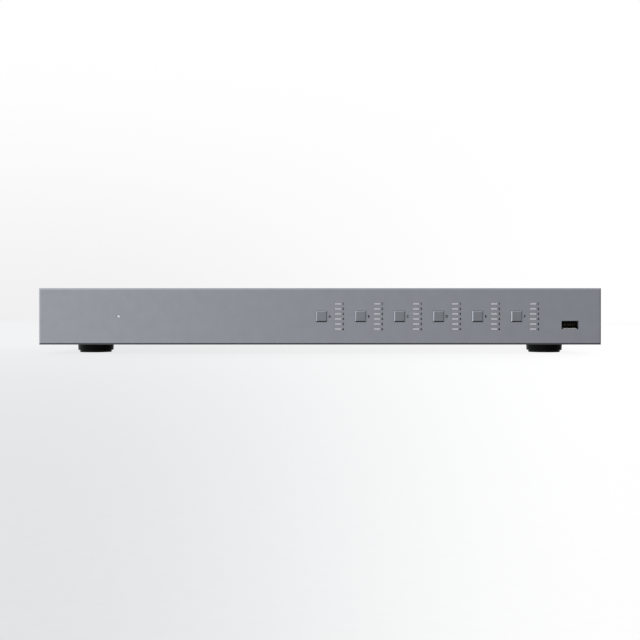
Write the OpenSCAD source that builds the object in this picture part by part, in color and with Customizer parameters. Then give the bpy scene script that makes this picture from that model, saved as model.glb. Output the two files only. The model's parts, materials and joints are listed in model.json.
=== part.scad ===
// A one-unit-high video matrix switch. Six square zone buttons and their bars of
// indicator windows are in the aluminium front panel, with a status light at the left and a
// USB socket at the right. Six double video sockets, a network socket, a serial socket, two
// jacks, a rocker switch and a mains inlet are in the rear panel.
// X runs to the right as seen from the front, Y to the rear and Z up. The origin is the
// middle of the footprint, on the surface that the feet stand on. Lengths are millimetres.

/* [Case] */
// Width of the front panel
body_w = 440; // [434:1:460]
// Height of the front panel
body_h = 44.2; // [44:0.1:50]
// Depth of the sheet-metal case behind the front panel
case_d = 280; // [275:5:330]
// Thickness of the sheet metal
sheet_t = 1.2; // [1:0.1:1.3]
// Outer radius of the bends in the sheet metal
bend_r = 2; // [1.8:0.1:3]
// Height of the front panel's lower edge above the surface below the feet
floor_gap = 7; // [6.3:0.1:9]
// How far the front panel overhangs the cover at each side
side_step = 1; // [1:0.1:2]
// How far the front panel overhangs the case above and below
top_step = 0.5; // [0.3:0.1:0.6]
// Height of the side flanges of the base pan
flange_h = 16; // [14:1:20]
// Clearance between the cover's sides and the base pan's flanges
cover_fit = 0.2; // [0.1:0.05:0.4]

/* [Front panel] */
// Thickness of the front panel
panel_t = 5; // [4.5:0.5:7]
// Width of the chamfer round the front edges
panel_chamfer = 1.3; // [0.5:0.1:2]
// Height of the window in the base pan behind the front panel
window_h = 29; // [28:0.5:29.5]
// Depth of the blind threaded holes in the rear of the front panel
blind_depth = 3.5; // [3.3:0.1:4]

/* [Buttons] */
// Width and height of a button
button_w = 8.6; // [7:0.1:9]
// Width of the bevel round a button's front face
button_bevel = 0.75; // [0.4:0.05:1]
// How far a button stands out of the front panel
button_proud = 1.1; // [1:0.1:2]
// Clearance round a button in its opening
button_gap = 0.15; // [0.1:0.05:0.3]
// Distance from one button to the next
button_pitch = 30.5; // [30:0.1:31.5]
// Distance of the last button from the right end of the front panel
button_inset = 66.4; // [60:0.1:68]
// Width of the lip that keeps a button behind the front panel
button_lip = 1; // [0.8:0.1:1.3]
// Thickness of that lip
button_lip_t = 1; // [0.8:0.1:1.4]
// How far a button can be pressed
button_travel = 0.5; // [0.3:0.1:0.7]
// Width and height of the switch behind a button
switch_w = 6; // [5.5:0.5:7]
// Height of that switch above its board
switch_h = 4; // [3.6:0.1:4.4]
// Diameter of the switch's plunger
plunger_d = 3.4; // [3:0.1:4]
// How far the plunger stands out of the switch
plunger_proud = 1; // [0.9:0.1:1.4]
// How far the plunger reaches into the switch
plunger_in = 2; // [1.5:0.1:2.2]

/* [Indicators] */
// Width of an indicator window
bar_w = 5; // [4:0.1:5.5]
// Height of an indicator window
bar_h = 1.6; // [1.2:0.05:2]
// Distance from one window to the next below it
bar_pitch = 3.95; // [3.6:0.05:4.2]
// Distance from a button's middle to the middle of its windows
bar_offset = 13; // [12.4:0.1:13.4]
// How far the windows lie below the face of the front panel
bar_recess = 0.1; // [0:0.05:0.3]
// Clearance round a window in its slot
bar_gap = 0.1; // [0.05:0.05:0.2]
// Width of the web that joins six windows, beyond them on each side
web_lip = 1.4; // [1:0.1:1.5]
// Thickness of that web
web_t = 1.5; // [1:0.1:2]
// Distance of the status light from the left end of the front panel
status_inset = 62.4; // [58:0.1:70]
// Diameter of the status light
status_d = 2.2; // [1.8:0.1:2.6]
// Gap round the status light in its hole
status_gap = 0.3; // [0.1:0.05:0.4]
// Height of the light-emitting diodes above their board
led_t = 0.8; // [0.6:0.1:1.2]
// Air gap between a diode and its light guide
led_air = 0.3; // [0.2:0.1:0.6]

/* [USB socket] */
// Distance of the USB socket from the right end of the front panel
usb_inset = 24.6; // [24:0.1:30]
// Distance of the USB socket below the middle of the front panel
usb_drop = 6.7; // [5:0.1:8]
// Outer width of the socket's shell
usb_w = 12.9; // [12.8:0.1:13.2]
// Outer height of the socket's shell
usb_h = 5.5; // [5.3:0.1:5.8]
// Thickness of the shell
usb_wall = 0.3; // [0.25:0.05:0.35]
// How far the shell's mouth lies behind the panel's face
usb_recess = 0.3; // [0.1:0.1:0.6]
// Height of the flared lips above and below the mouth
usb_lip = 0.7; // [0.5:0.05:1]
// Width of the flared lips beside the mouth
usb_side_lip = 0.35; // [0.3:0.05:0.5]
// Clearance round the lips in the panel's opening
usb_gap = 0.1; // [0.05:0.05:0.3]
// Thickness of the socket's tongue
tongue_t = 1.85; // [1.6:0.05:1.9]
// Width of the socket's tongue
tongue_w = 11.1; // [10.5:0.1:11.3]

/* [Circuit boards] */
// Thickness of the circuit boards
board_t = 1.6; // [1.2:0.1:2]
// Distance of the front board behind the front panel
board_gap = 9; // [8.6:0.1:11]
// Height of the front board
front_board_h = 34; // [32:0.5:36]
// Height of the main and supply boards above the base pan
board_lift = 6; // [5:0.5:7]
// Width of the main board
main_w = 270; // [262:1:290]
// Depth of the main board
main_d = 190; // [180:1:200]
// Width of the supply board
supply_w = 80; // [74:1:90]
// Depth of the supply board
supply_d = 120; // [110:1:130]
// Diameter of the pillars that carry the boards
pillar_d = 5; // [4.6:0.1:5.4]
// Thickness of the ribbon cable
ribbon_t = 0.9; // [0.6:0.1:1.2]
// Width of the ribbon cable
ribbon_w = 20; // [16:1:26]
// Height of the fins of the heat sink
fin_h = 12; // [8:1:16]

/* [Video sockets] */
// Distance from one double video socket to the next
hdmi_pitch = 27; // [24:0.5:27.5]
// Width of a double video socket
hdmi_w = 16; // [15.6:0.1:18]
// Height of a double video socket
hdmi_h = 20.6; // [20:0.1:22]
// Depth of a double video socket behind the rear panel
hdmi_d = 18; // [16:0.5:20]
// Height from the lower port's middle to the upper one's
port_spacing = 10.4; // [9:0.1:11]
// Inner width of a port
port_w = 14; // [13.8:0.05:14.2]
// Inner height of a port
port_h = 4.6; // [4.5:0.05:4.8]
// Thickness of a port's shell
port_wall = 0.45; // [0.3:0.05:0.6]
// How far the ports stand out of the rear panel
port_proud = 0.6; // [0.3:0.1:1.2]
// Depth of a port
port_depth = 12; // [11:0.5:13]
// Clearance round the sockets in the rear panel
socket_gap = 0.3; // [0.2:0.05:0.5]

/* [Other sockets] */
// Width of the network socket
lan_w = 16; // [15.5:0.1:17]
// Height of the network socket
lan_h = 13.4; // [13:0.1:14.5]
// Depth of the network socket behind the rear panel
lan_d = 20; // [18:0.5:22]
// Inner width of the network socket's mouth
lan_mouth_w = 11.8; // [11.6:0.1:12.2]
// Inner height of the network socket's mouth
lan_mouth_h = 7; // [6.8:0.1:7.4]
// Width of the serial socket
serial_w = 13.4; // [13:0.1:15]
// Height of the serial socket
serial_h = 8; // [7.6:0.1:9]
// Depth of the serial socket behind the rear panel
serial_d = 10; // [9:0.5:12]
// Thickness of the serial socket's walls
serial_wall = 0.9; // [0.7:0.1:1.1]
// Depth of the serial socket's cavity
serial_depth = 8; // [6:0.5:8.5]
// Distance from one serial pin to the next
serial_pitch = 3.5; // [3.4:0.05:3.8]
// Width of a jack's housing
jack_w = 9.5; // [9:0.1:10.5]
// Depth of a jack's housing behind the rear panel
jack_d = 12; // [11:0.5:14]
// Diameter of a jack's nose
jack_nose_d = 7; // [6:0.1:8]
// Diameter of a jack's bore
jack_bore_d = 3.6; // [3.5:0.05:3.7]
// How far the smaller sockets stand out of the rear panel
socket_proud = 0.5; // [0.3:0.1:1]

/* [Mains inlet] */
// Distance of the inlet from the right end of the front panel
inlet_inset = 50; // [44:0.5:54]
// Width of the inlet's flange
inlet_w = 31; // [30.5:0.5:34]
// Height of the inlet's flange
inlet_h = 24; // [23.5:0.5:27]
// Thickness of the inlet's flange
inlet_flange_t = 2; // [1.5:0.1:2.5]
// Width of the inlet's cavity
cavity_w = 24.6; // [24.4:0.1:25]
// Height of the inlet's cavity
cavity_h = 16.6; // [16.4:0.1:17]
// Depth of the inlet's cavity
cavity_d = 16.5; // [16:0.5:18]
// Thickness of the inlet's walls
inlet_wall = 1.6; // [1.2:0.1:1.8]
// Distance between the two power pins
pin_spacing = 14; // [13.8:0.1:14.2]

/* [Rocker switch] */
// Distance from the inlet to the rocker switch
rocker_offset = 38; // [34:0.5:42]
// Length of the rocker
rocker_l = 15.2; // [14:0.1:16]
// Width of the rocker
rocker_w = 10.4; // [9.5:0.1:11]
// Tilt of the rocker to each side
rocker_tilt = 10; // [8:0.5:12]
// Depth of the rocker's pivot behind the flange's face
pivot_depth = 4; // [3.6:0.1:4.5]
// Diameter of the rocker's pivot pins
pivot_d = 2.4; // [2:0.1:3]
// Clearance round the rocker in its frame
rocker_gap = 0.25; // [0.15:0.05:0.4]
// Width of the frame's rim round the rocker
rocker_rim = 2; // [1.9:0.1:2.6]
// Thickness of the frame's rim
rim_t = 2; // [1.5:0.1:2.5]

/* [Fan] */
// Width and height of the fan
fan_size = 40; // [36:0.5:40]
// Thickness of the fan
fan_t = 10.5; // [10:0.5:12]
// Distance of the fan's middle behind the front panel
fan_y = 130; // [110:1:150]
// Diameter of the fan's duct
duct_d = 38; // [34:0.5:38]
// Distance between the fan's screw holes
fan_hole_spacing = 32; // [31:0.5:32.5]
// Gap between the base pan's flange and the fan's bracket
fan_gap = 1.6; // [1.3:0.1:2.4]
// Diameter of the rotor's hub
hub_d = 21; // [19:0.5:23]
// Diameter of the rotor's shaft
shaft_d = 3; // [2:0.1:3.4]

/* [Vents] */
// Width of a vent slot
slot_w = 2.6; // [2:0.1:3]
// Distance from one fan slot to the next
fan_slot_pitch = 4.6; // [4.2:0.1:5]
// Distance from one intake slot to the next
intake_pitch = 6; // [5:0.1:6.5]
// Distance of the first intake slot behind the front panel
intake_y = 95; // [85:1:110]
// Height of the intake slots
intake_h = 20; // [12:1:21]

/* [Feet] */
// Diameter of a foot where it meets the base pan
foot_d = 28.7; // [28.5:0.1:33]
// Diameter of a foot's lower edge
foot_low_d = 28.2; // [27.6:0.1:28.5]
// Distance of the feet from the ends of the front panel
foot_side_inset = 35.4; // [30:0.1:42]
// Distance of the feet from the front and rear of the case
foot_inset = 33; // [25:1:40]
// Diameter of a foot's rubber pad
pad_d = 25.4; // [22:0.1:26.2]
// How far a pad stands out of its foot
pad_proud = 1.6; // [1:0.05:2]
// Depth of the pocket that holds a pad
pad_in = 1; // [0.8:0.1:1.2]
// Thickness of a foot under its screw's head
foot_seat_t = 1.8; // [1.6:0.1:2.2]

/* [Screws] */
// Diameter of the screws
screw_d = 3; // [2.5:0.1:3.2]
// Clearance round a screw in its hole
screw_gap = 0.1; // [0.05:0.05:0.2]
// Diameter of a screw's head
head_d = 5; // [4.6:0.1:5.4]
// Height of a screw's head
head_h = 0.8; // [0.6:0.1:0.9]
// Length of the screws that hold the sheet metal
screw_l = 5; // [4:0.5:6]
// Distance between the rack-ear holes along the case
rack_spacing_y = 30; // [26:1:32]
// Distance between the rack-ear holes up the case
rack_spacing_z = 22; // [18:1:24]
// Diameter of the clearance holes for the rack ears
rack_hole_d = 4.2; // [4:0.1:4.5]
// Diameter of the tapped holes behind them
rack_tap_d = 3.3; // [3:0.1:3.5]

/* [Hidden] */
$fn = 48;
over = 1; // how far a cutting shape runs past what it cuts
zones = 6;
video_pairs = 6;

// Levels and faces of the case
cover_w = body_w - 2 * side_step;
base_w = cover_w - 2 * (sheet_t + cover_fit);
inner_x = base_w / 2 - sheet_t;
panel_z0 = floor_gap;
panel_z1 = floor_gap + body_h;
mid_z = (panel_z0 + panel_z1) / 2;
case_z0 = panel_z0 + top_step;
case_z1 = panel_z1 - top_step;
floor_z = case_z0 + sheet_t;
ceiling_z = case_z1 - sheet_t;
wall_top_z = case_z1 - bend_r - cover_fit;

// The rocker's ends, measured from its pivot
rocker_face = 0.3;
rocker_end_y = rocker_face + rocker_l / 2 * tan(rocker_tilt) + pivot_depth;
rocker_end_r = norm([rocker_l / 2, rocker_end_y]);
rocker_end_a = atan2(rocker_end_y, rocker_l / 2);
rocker_window = 2 * (rocker_end_r * cos(rocker_end_a - rocker_tilt) + rocker_gap);
rocker_reach = rim_t - pivot_depth + rocker_end_r * sin(rocker_end_a + rocker_tilt);

// Front and rear: y_case is the plane where the front panel meets the case
rear_proud = max(rocker_reach, inlet_flange_t, port_proud, socket_proud);
total_d = button_proud + panel_t + case_d + rear_proud;
y_case = -total_d / 2 + button_proud + panel_t;

// Holes, shared by what they pass through
hole_d = screw_d + 2 * screw_gap;
rim_screw_z = (window_h + ceiling_z - floor_z) / 4;
rim_screw_x = [-(inner_x - 7), -40, inner_x - 7];
cover_screw_y = [75, 190, case_d - 20];
cover_screw_z = case_z0 + flange_h / 2 + 1;
rear_screw_inset = 100;
rear_screw_x = [-1, 0, 1] * (body_w / 2 - rear_screw_inset);
rear_flange = 10;
cheek_d = rack_spacing_y + 30;
rack_y = 15;

// Front board, with what it carries
button_x = [for (k = [1 : zones])
    body_w / 2 - button_inset - (zones - k) * button_pitch];
status_x = body_w / 2 - status_inset;
usb_x = body_w / 2 - usb_inset;
foot_x = body_w / 2 - foot_side_inset;
bars_h = (zones - 1) * bar_pitch + bar_h;
guide_end = board_gap - led_t - led_air;
usb_cut_w = usb_w - 2 * usb_wall + 2 * usb_side_lip + 2 * usb_gap;
usb_cut_h = usb_h - 2 * usb_wall + 2 * usb_lip + 2 * usb_gap;
usb_z = mid_z - usb_drop;
front_x0 = -status_x - 10;
front_x1 = usb_x + usb_w / 2 + 4;
window_margin = 3;
stud_l = 3;
front_pillar_x = [-status_x + 14, (button_x[0] - status_x) / 2,
    button_x[2] - 9.4, button_x[5] - 9.4, usb_x - usb_cut_w / 2 - 7];
front_pillar_z = 10;
button_stem_l = board_gap - switch_h - plunger_proud;
plunger_gap = 0.1;

// Fan and its bracket on the left
bracket_x = -inner_x + fan_gap;
fan_x = bracket_x + sheet_t;
fan_lift = 0.2;
fan_z = floor_z + fan_lift + fan_size / 2;
duct_gap = 0.7;

// Main board
main_x0 = fan_x + fan_t + 4;
main_x1 = main_x0 + main_w;
main_y1 = case_d - sheet_t - socket_gap;
main_y0 = main_y1 - main_d;
board_z = floor_z + board_lift;
board_top = board_z + board_t;
hdmi_x = [for (k = [0 : video_pairs - 1]) main_x0 + 18 + k * hdmi_pitch];
port_z = [board_top + hdmi_h / 2 - port_spacing / 2,
    board_top + hdmi_h / 2 + port_spacing / 2];
lan_x = hdmi_x[video_pairs - 1] + hdmi_w / 2 + lan_w / 2 + 10;
serial_x = lan_x + lan_w / 2 + serial_w / 2 + 9;
jack_x = [serial_x + serial_w / 2 + jack_w / 2 + 9,
    serial_x + serial_w / 2 + jack_w * 1.5 + 12];
jack_h = 9;
jack_z = board_top + jack_h / 2;
lan_mouth_z = board_top + 5.4;
main_pillars = [for (x = [main_x0 + 6, main_x0 + main_w / 2 + 12, main_x1 - 6])
    for (y = [main_y0 + 6, main_y1 - hdmi_d - 8]) [x, y]];
chip_h = 2.5;
sink_w = 60;
sink_base_t = 3;
sink_fins = 11;
fin_t = 1.6;
sink_x = main_x0 + main_w / 2 - 20;
sink_y = main_y0 + main_d / 2;
ribbon_inset = 60;
ribbon_x = main_x0 + ribbon_inset;
ribbon_header_l = 5.5;
ribbon_header_h = 6;
ribbon_header_lip = 2;
ribbon_header_inset = 6;

// Supply board
supply_side_gap = 16;
supply_x1 = inner_x - supply_side_gap;
supply_x0 = supply_x1 - supply_w;
inlet_body_d = cavity_d + 2.5;
tab_l = 7;
supply_y1 = case_d + inlet_flange_t - inlet_body_d - tab_l - 12;
supply_y0 = supply_y1 - supply_d;
supply_pillars = [for (x = [supply_x0 + 5, supply_x1 - 5])
    for (y = [supply_y0 + 5, supply_y1 - 5]) [x, y]];
wire_r = 0.9;
core_w = 34;
core_d = 30;
core_h = 8;
coil_w = 22;
coil_d = 24;
coil_h = 24;
bulk_cap_d = 18;
bulk_cap_h = 25;
cap_d = 8;
cap_h = 13;
cap_pitch = 14;

// Rear power parts
inlet_x = body_w / 2 - inlet_inset;
inlet_z = mid_z;
rocker_x = inlet_x - rocker_offset;
rocker_frame_w = rocker_w + 2 * rocker_gap + 2 * rocker_rim;
rocker_frame_l = rocker_window + 2 * rocker_rim;
frame_wall = 0.9;
well_depth = pivot_depth + 4;
frame_depth = well_depth + 5;
terminal_w = 4.8;
terminal_l = 6;
terminal_z = 5;

// Shapes that several pieces use

// A block between two opposite corners
module block(a, b) {
    translate(a) cube(b - a);
}

// A round bar along +Y, along +X or along +Z, starting at a point
module rod_y(p, r, l) {
    translate(p) rotate([-90, 0, 0]) cylinder(h = l, r = r);
}
module rod_x(p, r, l) {
    translate(p) rotate([0, 90, 0]) cylinder(h = l, r = r);
}
module rod_z(p, r, l) {
    translate(p) cylinder(h = l, r = r);
}

// An outline in Y and Z, swept along X from x0 over a width
module side_sweep(points, x0, w) {
    translate([x0, 0, 0]) rotate([90, 0, 90]) linear_extrude(w) polygon(points);
}

// An outline in X and Z, swept along +Y from y0 over a length
module depth_sweep(y0, l) {
    translate([0, y0 + l, 0]) rotate([90, 0, 0]) linear_extrude(l) children();
}

// A square-edged plate, w by h, whose four front edges are chamfered by c.
// It is centred on X and on z, and lies between y = front and y = back.
module chamfered_plate(w, h, z, front, back, c) {
    intersection() {
        side_sweep([[back, z - h / 2], [back, z + h / 2], [front + c, z + h / 2],
            [front, z + h / 2 - c], [front, z - h / 2 + c], [front + c, z - h / 2]],
            -w / 2, w);
        translate([0, 0, z - h / 2]) linear_extrude(h)
            polygon([[-w / 2, back], [w / 2, back], [w / 2, front + c],
                [w / 2 - c, front], [-w / 2 + c, front], [-w / 2, front + c]]);
    }
}

// A screw whose head's underside is at the origin and whose shank runs along -Z
module screw(l) {
    recess = 0.45;
    difference() {
        union() {
            cylinder(h = head_h, d = head_d);
            translate([0, 0, -l]) cylinder(h = l, d = screw_d);
        }
        for (a = [0, 90])
            rotate([0, 0, a])
                translate([0, 0, head_h - recess / 2 + over / 2])
                    cube([head_d * 0.55, head_d * 0.14, recess + over], center = true);
    }
}

// A channel's section in X and Z: w wide and h high, open at the top, with rounded
// outer and inner bends and a wall t thick
module channel_section(w, h, r, t) {
    difference() {
        rounded_below(w, h, r);
        translate([0, t]) rounded_below(w - 2 * t, h, max(r - t, 0.2));
    }
}
module rounded_below(w, h, r) {
    translate([-w / 2, r]) square([w, h - r]);
    translate([-w / 2 + r, 0]) square([w - 2 * r, h]);
    for (s = [-1, 1])
        translate([s * (w / 2 - r), r]) circle(r);
}

// The outline of a video port, grown by g on every side
module port_outline(g) {
    corner = 1.9;
    w = port_w / 2;
    h = port_h / 2;
    polygon([[-w - g, h + g], [-w - g, h - port_h + corner - g / 2],
        [-w + corner * 0.85 - g / 2, -h - g], [w - corner * 0.85 + g / 2, -h - g],
        [w + g, h - port_h + corner - g / 2], [w + g, h + g]]);
}

// The outline of the inlet's cavity, grown by g: a rectangle with two cut lower corners
module inlet_outline(g) {
    cut = 4.5;
    w = cavity_w / 2 + g;
    h = cavity_h / 2 + g;
    polygon([[-w, h], [-w, -h + cut], [-w + cut, -h], [w - cut, -h], [w, -h + cut],
        [w, h]]);
}

// An upright slot with round ends through a wall, h high, from x over a length l
module wall_slot(x, l, y, z, h) {
    block([x, y - slot_w / 2, z - h / 2 + slot_w / 2],
        [x + l, y + slot_w / 2, z + h / 2 - slot_w / 2]);
    for (s = [-1, 1])
        rod_x([x, y, z + s * (h / 2 - slot_w / 2)], slot_w / 2, l);
}

// Casing

module front_panel() {
    color("slategray") translate([0, y_case, 0]) difference() {
        chamfered_plate(body_w, body_h, mid_z, -panel_t, 0, panel_chamfer);
        for (x = button_x) {
            half = button_w / 2 + button_gap;
            block([x - half, -panel_t - over, mid_z - half],
                [x + half, over, mid_z + half]);
            for (k = [0 : zones - 1])
                bar_box(x, k, bar_gap, -panel_t - over, over);
        }
        rod_y([-status_x, -panel_t - over, mid_z], status_d / 2 + status_gap,
            panel_t + 2 * over);
        block([usb_x - usb_cut_w / 2, -panel_t - over, usb_z - usb_cut_h / 2],
            [usb_x + usb_cut_w / 2, over, usb_z + usb_cut_h / 2]);
        for (x = rim_screw_x, s = [-1, 1])
            rod_y([x, -blind_depth, mid_z + s * rim_screw_z], hole_d / 2,
                blind_depth + over);
        for (x = front_pillar_x, s = [-1, 1])
            rod_y([x, -blind_depth, mid_z + s * front_pillar_z], hole_d / 2,
                blind_depth + over);
    }
}

// The box of window k beside the button at x, grown by g, from y0 to y1
module bar_box(x, k, g, y0, y1) {
    z = mid_z + ((zones - 1) / 2 - k) * bar_pitch;
    block([x + bar_offset - bar_w / 2 - g, y0, z - bar_h / 2 - g],
        [x + bar_offset + bar_w / 2 + g, y1, z + bar_h / 2 + g]);
}

module base_pan() {
    color("gray") translate([0, y_case, 0]) difference() {
        union() {
            // floor with low side flanges, and cheeks as high as the case at the front
            depth_sweep(0, case_d) translate([0, case_z0])
                channel_section(base_w, flange_h, bend_r, sheet_t);
            depth_sweep(0, cheek_d) translate([0, case_z0])
                channel_section(base_w, wall_top_z - case_z0, bend_r, sheet_t);
            // front flange
            block([-base_w / 2, 0, case_z0 + bend_r],
                [base_w / 2, sheet_t, wall_top_z]);
            block([-base_w / 2 + bend_r, 0, case_z0],
                [base_w / 2 - bend_r, sheet_t, wall_top_z]);
            // bracket that carries the fan
            block([bracket_x, fan_y - fan_size / 2, floor_z - sheet_t / 2],
                [bracket_x + sheet_t, fan_y + fan_size / 2, fan_z + fan_size / 2]);
            // pressed-in nuts for the rack ears
            for (s = [-1, 1], p = rack_points())
                rod_x([s * (inner_x - 1), p[0], p[1]] - [1, 0, 0], rack_tap_d / 2 + 2, 2);
        }
        block([front_x0 - window_margin, -over, mid_z - window_h / 2],
            [front_x1 + window_margin, sheet_t + over, mid_z + window_h / 2]);
        for (x = rim_screw_x, s = [-1, 1])
            rod_y([x, -over, mid_z + s * rim_screw_z], hole_d / 2, sheet_t + 2 * over);
        // room beside the fan, its duct and its screws
        block([-base_w / 2 - over, fan_y - fan_size / 2, floor_z + sheet_t],
            [-inner_x + sheet_t / 2, fan_y + fan_size / 2, case_z1]);
        rod_x([bracket_x - over, fan_y, fan_z], duct_d / 2, sheet_t + 2 * over);
        for (p = fan_holes())
            rod_x([bracket_x - over, p[0], p[1]], hole_d / 2, sheet_t + 2 * over);
        // holes in the sides
        for (y = cover_screw_y)
            rod_x([-base_w / 2 - over, y, cover_screw_z], hole_d / 2, base_w + 2 * over);
        for (s = [-1, 1], p = rack_points())
            rod_x([s * (inner_x - 1) - 4, p[0], p[1]], rack_tap_d / 2, 8);
        // holes in the floor
        for (p = foot_points())
            rod_z([p[0], p[1], case_z0 - over], hole_d / 2, sheet_t + 2 * over);
        for (x = rear_screw_x)
            rod_z([x, case_d - sheet_t - rear_flange / 2, case_z0 - over], hole_d / 2,
                sheet_t + 2 * over);
    }
}

function rack_points() = [for (y = [rack_y, rack_y + rack_spacing_y])
    for (s = [-1, 1]) [y, mid_z + s * rack_spacing_z / 2]];
function fan_holes() = [for (s = [-1, 1], t = [-1, 1])
    [fan_y + s * fan_hole_spacing / 2, fan_z + t * fan_hole_spacing / 2]];
function foot_points() = [for (y = [foot_inset, case_d - foot_inset])
    for (s = [-1, 1]) [s * foot_x, y]];

module top_cover() {
    fan_slots = floor((duct_d / 2 - slot_w) / fan_slot_pitch);
    intake_slots = floor((case_d - intake_y - 45) / intake_pitch);
    intake_z = case_z0 + flange_h + 2 + intake_h / 2;
    color("slategray") translate([0, y_case, 0]) difference() {
        depth_sweep(0, case_d) translate([0, case_z1]) mirror([0, 1])
            channel_section(cover_w, case_z1 - case_z0 - 0.5, bend_r, sheet_t);
        // vents over the fan, cut to the round of its duct
        for (k = [-fan_slots : fan_slots]) {
            y = k * fan_slot_pitch;
            wall_slot(-cover_w / 2 - over, sheet_t + 2 * over, fan_y + y, fan_z,
                2 * sqrt(pow(duct_d / 2 - 1, 2) - y * y));
        }
        // intake vents on the other side
        for (k = [0 : intake_slots - 1])
            wall_slot(cover_w / 2 - sheet_t - over, sheet_t + 2 * over,
                intake_y + k * intake_pitch, intake_z, intake_h);
        for (y = cover_screw_y)
            rod_x([-cover_w / 2 - over, y, cover_screw_z], hole_d / 2,
                cover_w + 2 * over);
        for (s = [-1, 1], p = rack_points())
            rod_x([s * (cover_w / 2 - sheet_t / 2) - 2, p[0], p[1]], rack_hole_d / 2, 4);
        for (x = rear_screw_x)
            rod_z([x, case_d - sheet_t - rear_flange / 2, ceiling_z - over], hole_d / 2,
                sheet_t + 2 * over);
    }
}

module rear_panel() {
    half = inner_x - cover_fit;
    y0 = case_d - sheet_t;
    bend_room = bend_r - sheet_t + 0.1;
    color("slategray") translate([0, y_case, 0]) difference() {
        union() {
            block([-half, y0, floor_z], [half, case_d, ceiling_z]);
            // wider over the base pan's side flanges, up to the cover's bends
            block([-base_w / 2, y0, case_z0 + flange_h + cover_fit],
                [base_w / 2, case_d, case_z1 - bend_r]);
            block([-half, y0 - rear_flange, floor_z],
                [half, case_d, floor_z + sheet_t]);
            block([-half, y0 - rear_flange, ceiling_z - sheet_t],
                [half, case_d, ceiling_z]);
        }
        // room for the ends of the base pan's bends
        for (s = [-1, 1])
            block([s * half - bend_room, y0 - rear_flange - over, floor_z - over],
                [s * half + bend_room, case_d + over, floor_z + bend_room]);
        // video ports
        for (x = hdmi_x, z = port_z)
            depth_sweep(y0 - over, sheet_t + 2 * over)
                translate([x, z]) port_outline(port_wall + socket_gap);
        // flanges stand back from the boards and sockets
        block([main_x0 - 1, y0 - rear_flange - over, floor_z - over],
            [jack_x[1] + jack_w, y0, board_top - sheet_t]);
        block([rocker_x - rocker_frame_w / 2 - 1, y0 - rear_flange - over,
            floor_z - over], [inlet_x + inlet_w / 2, y0, floor_z + sheet_t + over]);
        socket_cut(lan_x, lan_w, board_top, lan_h);
        socket_cut(serial_x, serial_w, board_top, serial_h);
        for (x = jack_x)
            rod_y([x, y0 - over, jack_z], jack_nose_d / 2 + socket_gap,
                sheet_t + 2 * over);
        depth_sweep(y0 - over, sheet_t + 2 * over)
            translate([inlet_x, inlet_z]) inlet_outline(inlet_wall + socket_gap);
        block([rocker_x - rocker_body_w() / 2 - socket_gap, y0 - over,
            mid_z - rocker_body_l() / 2 - socket_gap],
            [rocker_x + rocker_body_w() / 2 + socket_gap, case_d + over,
            mid_z + rocker_body_l() / 2 + socket_gap]);
        for (x = rear_screw_x)
            rod_z([x, y0 - rear_flange / 2, case_z0], hole_d / 2, body_h);
    }
}

// An opening in the rear panel for a socket of width w and height h that stands at z
module socket_cut(x, w, z, h) {
    block([x - w / 2 - socket_gap, case_d - sheet_t - over, z - socket_gap],
        [x + w / 2 + socket_gap, case_d + over, z + h + socket_gap]);
}

// Feet

module foot(k) {
    p = foot_points()[k];
    foot_h = case_z0 - pad_proud;
    color("black") translate([p[0], y_case + p[1], pad_proud]) difference() {
        cylinder(h = foot_h, d1 = foot_low_d, d2 = foot_d);
        translate([0, 0, -over]) cylinder(h = pad_in + over, d = pad_d);
        translate([0, 0, -over]) cylinder(h = foot_h - foot_seat_t + over, d = head_d + 1);
        translate([0, 0, -over]) cylinder(h = foot_h + 2 * over, d = hole_d);
    }
}

module foot_pads() {
    pad_fit = 0.1;
    color("dimgray") for (p = foot_points())
        rod_z([p[0], y_case + p[1], 0], pad_d / 2 - pad_fit, pad_proud + pad_in);
}

module foot_screws() {
    color("silver") for (p = foot_points())
        translate([p[0], y_case + p[1], case_z0 - foot_seat_t]) rotate([180, 0, 0])
            screw(foot_seat_t + sheet_t + 1.5);
}

// Fasteners

module case_screws() {
    color("silver") translate([0, y_case, 0]) {
        for (s = [-1, 1], y = cover_screw_y)
            translate([s * cover_w / 2, y, cover_screw_z]) rotate([0, s * 90, 0])
                screw(screw_l);
        for (x = rear_screw_x) {
            y = case_d - sheet_t - rear_flange / 2;
            translate([x, y, case_z1]) screw(screw_l);
            translate([x, y, case_z0]) rotate([180, 0, 0]) screw(screw_l);
        }
    }
}

module front_panel_screws() {
    color("silver") translate([0, y_case, 0])
        for (x = rim_screw_x, s = [-1, 1])
            translate([x, sheet_t, mid_z + s * rim_screw_z]) rotate([-90, 0, 0])
                screw(sheet_t + blind_depth - 0.5);
}

module board_screws() {
    color("silver") translate([0, y_case, 0]) {
        for (x = front_pillar_x, s = [-1, 1])
            translate([x, board_gap + board_t, mid_z + s * front_pillar_z])
                rotate([-90, 0, 0]) screw(board_t + 4);
        for (p = concat(main_pillars, supply_pillars))
            translate([p[0], p[1], board_top]) screw(board_t + board_lift / 2);
    }
}

module board_pillars() {
    bore_l = 4.6;
    color("gold") translate([0, y_case, 0]) {
        for (x = front_pillar_x, s = [-1, 1])
            difference() {
                union() {
                    rod_y([x, 0, mid_z + s * front_pillar_z], pillar_d / 2, board_gap);
                    rod_y([x, -stud_l, mid_z + s * front_pillar_z], screw_d / 2, stud_l);
                }
                rod_y([x, board_gap - bore_l, mid_z + s * front_pillar_z], hole_d / 2,
                    bore_l + over);
            }
        for (p = concat(main_pillars, supply_pillars))
            difference() {
                rod_z([p[0], p[1], floor_z], pillar_d / 2, board_lift);
                rod_z([p[0], p[1], floor_z + 1], hole_d / 2, board_lift);
            }
    }
}

module fan_screws() {
    color("silver") translate([0, y_case, 0])
        for (p = fan_holes())
            translate([bracket_x, p[0], p[1]]) rotate([0, -90, 0])
                screw(sheet_t + fan_t - 2);
}

// Front board and what stands on it

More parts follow.
